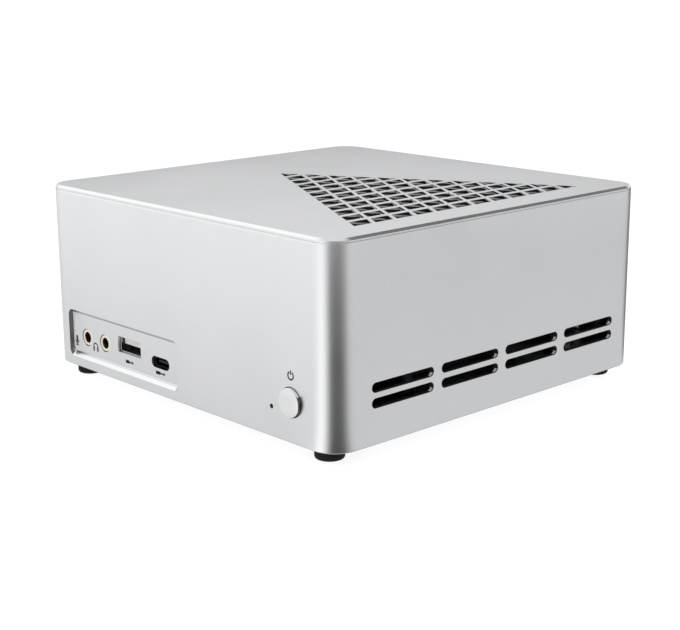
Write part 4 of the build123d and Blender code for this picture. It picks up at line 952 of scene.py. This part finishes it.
def cell_mark():
    """A raised plus on the coin cell. One bar is a little lower, so that their tops don't meet."""
    middle = middle_of("coin_cell")
    middle.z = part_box("coin_cell")[1].z
    long, short = 1.8 * MM, 0.3 * MM
    shape = bmesh.new()
    for half_x, half_y, top in ((long, short, FOIL), (short, long, 0.8 * FOIL)):
        low = middle - Vector((half_x, half_y, FOIL))
        add_block(shape, low, middle + Vector((half_x, half_y, top)))
    new_piece("cell_plus", shape, TIN)


def hub_cap():
    """A thin matt disc with a rim on the fan's hub, which turns with it."""
    middle = middle_of("fan_rotor")
    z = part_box("fan_rotor")[1].z
    outer, half, centre_radius = 11.0 * MM, 0.03 * MM, 0.05 * MM
    profile = [(centre_radius, z - half), (outer, z - half), (outer, z + half)]
    profile += [(outer - 0.6 * MM, z + 0.05 * MM), (outer - 0.8 * MM, z + half), (centre_radius, z + half)]
    shape = bmesh.new()
    add_lathe(shape, (middle.x, middle.y), profile, 2, 72)
    new_piece("fan_hub_disc", shape, HUB_FOIL, "fan_rotor", smooth=True)


memory_fingers("memory_lower_fingers", "memory_module_lower", LOWER_MODULE)
memory_fingers("memory_upper_fingers", "memory_module_upper", UPPER_MODULE)
small_parts()
cell_mark()
hub_cap()


# ---------------------------------------- floor and backdrop
def towards(azimuth, elevation=0.0):
    """Unit direction from the object. Azimuth 0 is in front of it and 90 to its right."""
    a, e = math.radians(azimuth), math.radians(elevation)
    return Vector((math.sin(a) * math.cos(e), -math.cos(a) * math.cos(e), math.sin(e)))


def steps_between(low, high, steps):
    return [low + (high - low) * i / steps for i in range(steps + 1)]


def studio_white(name, glow):
    """A plain stage surface with a trace of unevenness, lit a little from inside like a light table."""
    finish = Finish(name, (0.24, 0.24, 0.24), 0.7)
    finish.uneven(0.4, 0.01, (0.65, 0.75))
    finish.set("Emission Color", (1.0, 1.0, 1.0, 1.0))
    finish.set("Emission Strength", glow)
    return finish.material


def grid_object(name, rows):
    """A sheet of faces through rows of points."""
    mesh = bpy.data.meshes.new(name)
    width = len(rows[0])
    faces = [
        (r * width + c, r * width + c + 1, (r + 1) * width + c + 1, (r + 1) * width + c)
        for r in range(len(rows) - 1)
        for c in range(width - 1)
    ]
    mesh.from_pydata([point for row in rows for point in row], [], faces)
    piece = bpy.data.objects.new(name, mesh)
    SCENE.collection.objects.link(piece)
    return piece


def make_floor():
    size = 30.0
    floor = grid_object("floor", [[(-size, y, 0), (size, y, 0)] for y in (-size, size)])
    floor.data.materials.append(studio_white("floor_white", 0.90))


def make_backdrop():
    """A white wall beyond the edge of the floor. It hides the horizon from low cameras and lights nothing."""
    distance, height = 29.0, 30.0
    foot = [towards(a) * distance for a in steps_between(0, 360, 48)]
    wall = grid_object("backdrop", [foot, [point + Vector((0, 0, height)) for point in foot]])
    wall.data.materials.append(studio_white("backdrop_white", 1.0))
    wall.visible_diffuse = False
    wall.visible_glossy = False
    wall.visible_transmission = False
    wall.visible_shadow = False


# ---------------------------------------- reflection cards
def along_stops(value, stops):
    """A brightness that runs straight between stops of (value, brightness)."""
    if value <= stops[0][0]:
        return stops[0][1]
    for (first, before), (second, after) in zip(stops, stops[1:]):
        if value <= second:
            return before + (after - before) * (value - first) / (second - first)
    return stops[-1][1]


def reflection_card(name, rows, shades):
    """A studio card that only shows as a reflection in metal: it neither lights nor shades anything.

    Rows are rows of points, and shades the brightness at each of them.
    """
    card = grid_object(name, rows)
    shade = card.data.attributes.new("shade", "FLOAT", "POINT")
    shade.data.foreach_set("value", [value for row in shades for value in row])
    material = bpy.data.materials.new(name)
    material.use_nodes = True
    nodes = material.node_tree.nodes
    nodes.remove(nodes["Principled BSDF"])
    painted = nodes.new("ShaderNodeAttribute")
    painted.attribute_name = "shade"
    glow = nodes.new("ShaderNodeEmission")
    glow.inputs["Color"].default_value = (1.0, 1.0, 1.0, 1.0)
    material.node_tree.links.new(painted.outputs["Fac"], glow.inputs["Strength"])
    material.node_tree.links.new(glow.outputs["Emission"], nodes["Material Output"].inputs["Surface"])
    card.data.materials.append(material)
    card.visible_camera = False
    card.visible_diffuse = False
    card.visible_transmission = False
    card.visible_shadow = False


# Brightness of the floor round each corner of the case, as stops of (azimuth, brightness)
NEAR_CORNER = (
    (-40, 0.90), (-24, 0.98), (-10, 1.26), (4, 1.20), (16, 0.80), (28, 0.18), (40, 0.03), (62, 0.035),
    (78, 0.11), (92, 0.37), (102, 0.58), (114, 0.69), (126, 0.685),
)
REAR_CORNER = ((152, 0.685), (162, 0.45), (172, 0.20), (184, 0.12))
LEFT_CORNER = ((-120, 0.15), (-104, 0.50), (-98, 0.90))

# In front of the case the floor has this brightness at the foot of the wall, and gains this much per metre
# up to this distance. Beside it the floor loses a share per metre, from a start up to an end.
FRONT_FOOT, FRONT_GAIN, FRONT_END = 0.75, 1.4, 0.17
SIDE_LOSS, SIDE_START, SIDE_END = 0.9, 0.08, 0.28


def clamped(value, low, high):
    return min(max(value, low), high)


def fade(azimuth, point):
    """How the floor brightens away from the front of the case, and darkens away from its right side."""
    ahead = clamped(SHELL_LOW.y - point.y, 0.0, FRONT_END)
    front_weight = clamped((-14 - azimuth) / 26, 0.0, 1.0)
    front = 1.0 + front_weight * ((FRONT_FOOT + FRONT_GAIN * ahead) / NEAR_CORNER[0][1] - 1.0)
    beside = clamped(point.x - SHELL_HIGH.x - SIDE_START, 0.0, SIDE_END - SIDE_START)
    side_weight = clamped((azimuth - 110) / 16, 0.0, 1.0)
    return front * (1.0 - side_weight * SIDE_LOSS * beside)


def corner_card(name, x, y, azimuths, stops, height, faded=False):
    """Floor round a corner of the case, whose brightness changes with the azimuth."""
    centre = Vector((x, y, height))
    turns = steps_between(*azimuths, 96)
    radii = [CORNER_RADIUS + MM] + [20 * MM * 1.45**i for i in range(11)]
    rows = [[centre + towards(a) * r for a in turns] for r in radii]
    shades = [
        [along_stops(a, stops) * (fade(a, point) if faded else 1.0) for a, point in zip(turns, row)]
        for row in rows
    ]
    reflection_card(name, rows, shades)


def dome_card(name, azimuths, elevations, distance, stops):
    """A curved card in the air, whose brightness changes with the elevation."""
    levels, turns = steps_between(*elevations, 24), steps_between(*azimuths, 16)
    rows = [[towards(a, e) * distance for a in turns] for e in levels]
    reflection_card(name, rows, [[along_stops(e, stops)] * len(turns) for e in levels])


def make_cards():
    right, left = SHELL_HIGH.x - CORNER_RADIUS, SHELL_LOW.x + CORNER_RADIUS
    front, rear = SHELL_LOW.y + CORNER_RADIUS, SHELL_HIGH.y - CORNER_RADIUS
    corner_card("card_near_corner", right, front, (-100, 184), NEAR_CORNER, 1.0 * MM, faded=True)
    corner_card("card_rear_corner", right, rear, (150, 240), REAR_CORNER, 1.6 * MM)
    corner_card("card_left_corner", left, front, (-160, -98), LEFT_CORNER, 1.6 * MM)
    dome_card("card_behind", (-178, -101), (1, 60), 1.4, ((3, 0.78), (24, 0.88), (50, 0.84)))
    dome_card("card_low_behind", (-180, -90), (13, 31), 0.24, ((13, 0.28), (21, 0.40), (31, 0.80)))
    dome_card("card_over_left", (-100, -40), (22, 66), 1.4, ((22, 1.10), (66, 1.10)))
    dome_card("card_over_right", (118, 206), (28, 62), 1.4, ((28, 0.16), (62, 0.16)))


# ---------------------------------------- lights and camera
def area_light(name, azimuth, elevation, distance, size, power):
    """A square softbox that points at the object, and doesn't show in metal."""
    direction = towards(azimuth, elevation)
    lamp = bpy.data.lights.new(name, "AREA")
    lamp.shape = "SQUARE"
    lamp.size = size
    lamp.energy = power
    holder = bpy.data.objects.new(name, lamp)
    holder.location = direction * distance
    holder.rotation_euler = direction.to_track_quat("Z", "Y").to_euler()
    holder.visible_glossy = False
    SCENE.collection.objects.link(holder)


def make_lights():
    world = bpy.data.worlds.new("studio")
    world.use_nodes = True
    background = world.node_tree.nodes["Background"]
    background.inputs["Color"].default_value = (1.0, 1.0, 1.0, 1.0)
    background.inputs["Strength"].default_value = 0.78
    SCENE.world = world
    area_light("key", -74, 42, distance=1.6, size=1.65, power=9)
    area_light("overhead", 20, 82, distance=1.8, size=1.6, power=4)
    SCENE.view_settings.view_transform = "Standard"


def make_camera():
    yaw, pitch, roll = CAMERA_AZIMUTH, CAMERA_ELEVATION, CAMERA_ROLL
    forward = Vector((-math.sin(yaw) * math.cos(pitch), math.cos(yaw) * math.cos(pitch), -math.sin(pitch)))
    level = forward.cross(Vector((0, 0, 1))).normalized()
    upright = level.cross(forward)
    right = level * math.cos(roll) + upright * math.sin(roll)
    up = upright * math.cos(roll) - level * math.sin(roll)
    lens = bpy.data.cameras.new("camera")
    lens.lens = CAMERA_LENS
    lens.sensor_width = 36.0
    camera = bpy.data.objects.new("camera", lens)
    place = Matrix((right, up, -forward)).transposed().to_4x4()
    place.translation = AIM - forward * CAMERA_DISTANCE
    camera.matrix_world = place
    SCENE.collection.objects.link(camera)
    SCENE.camera = camera


make_floor()
make_backdrop()
make_cards()
make_lights()
make_camera()
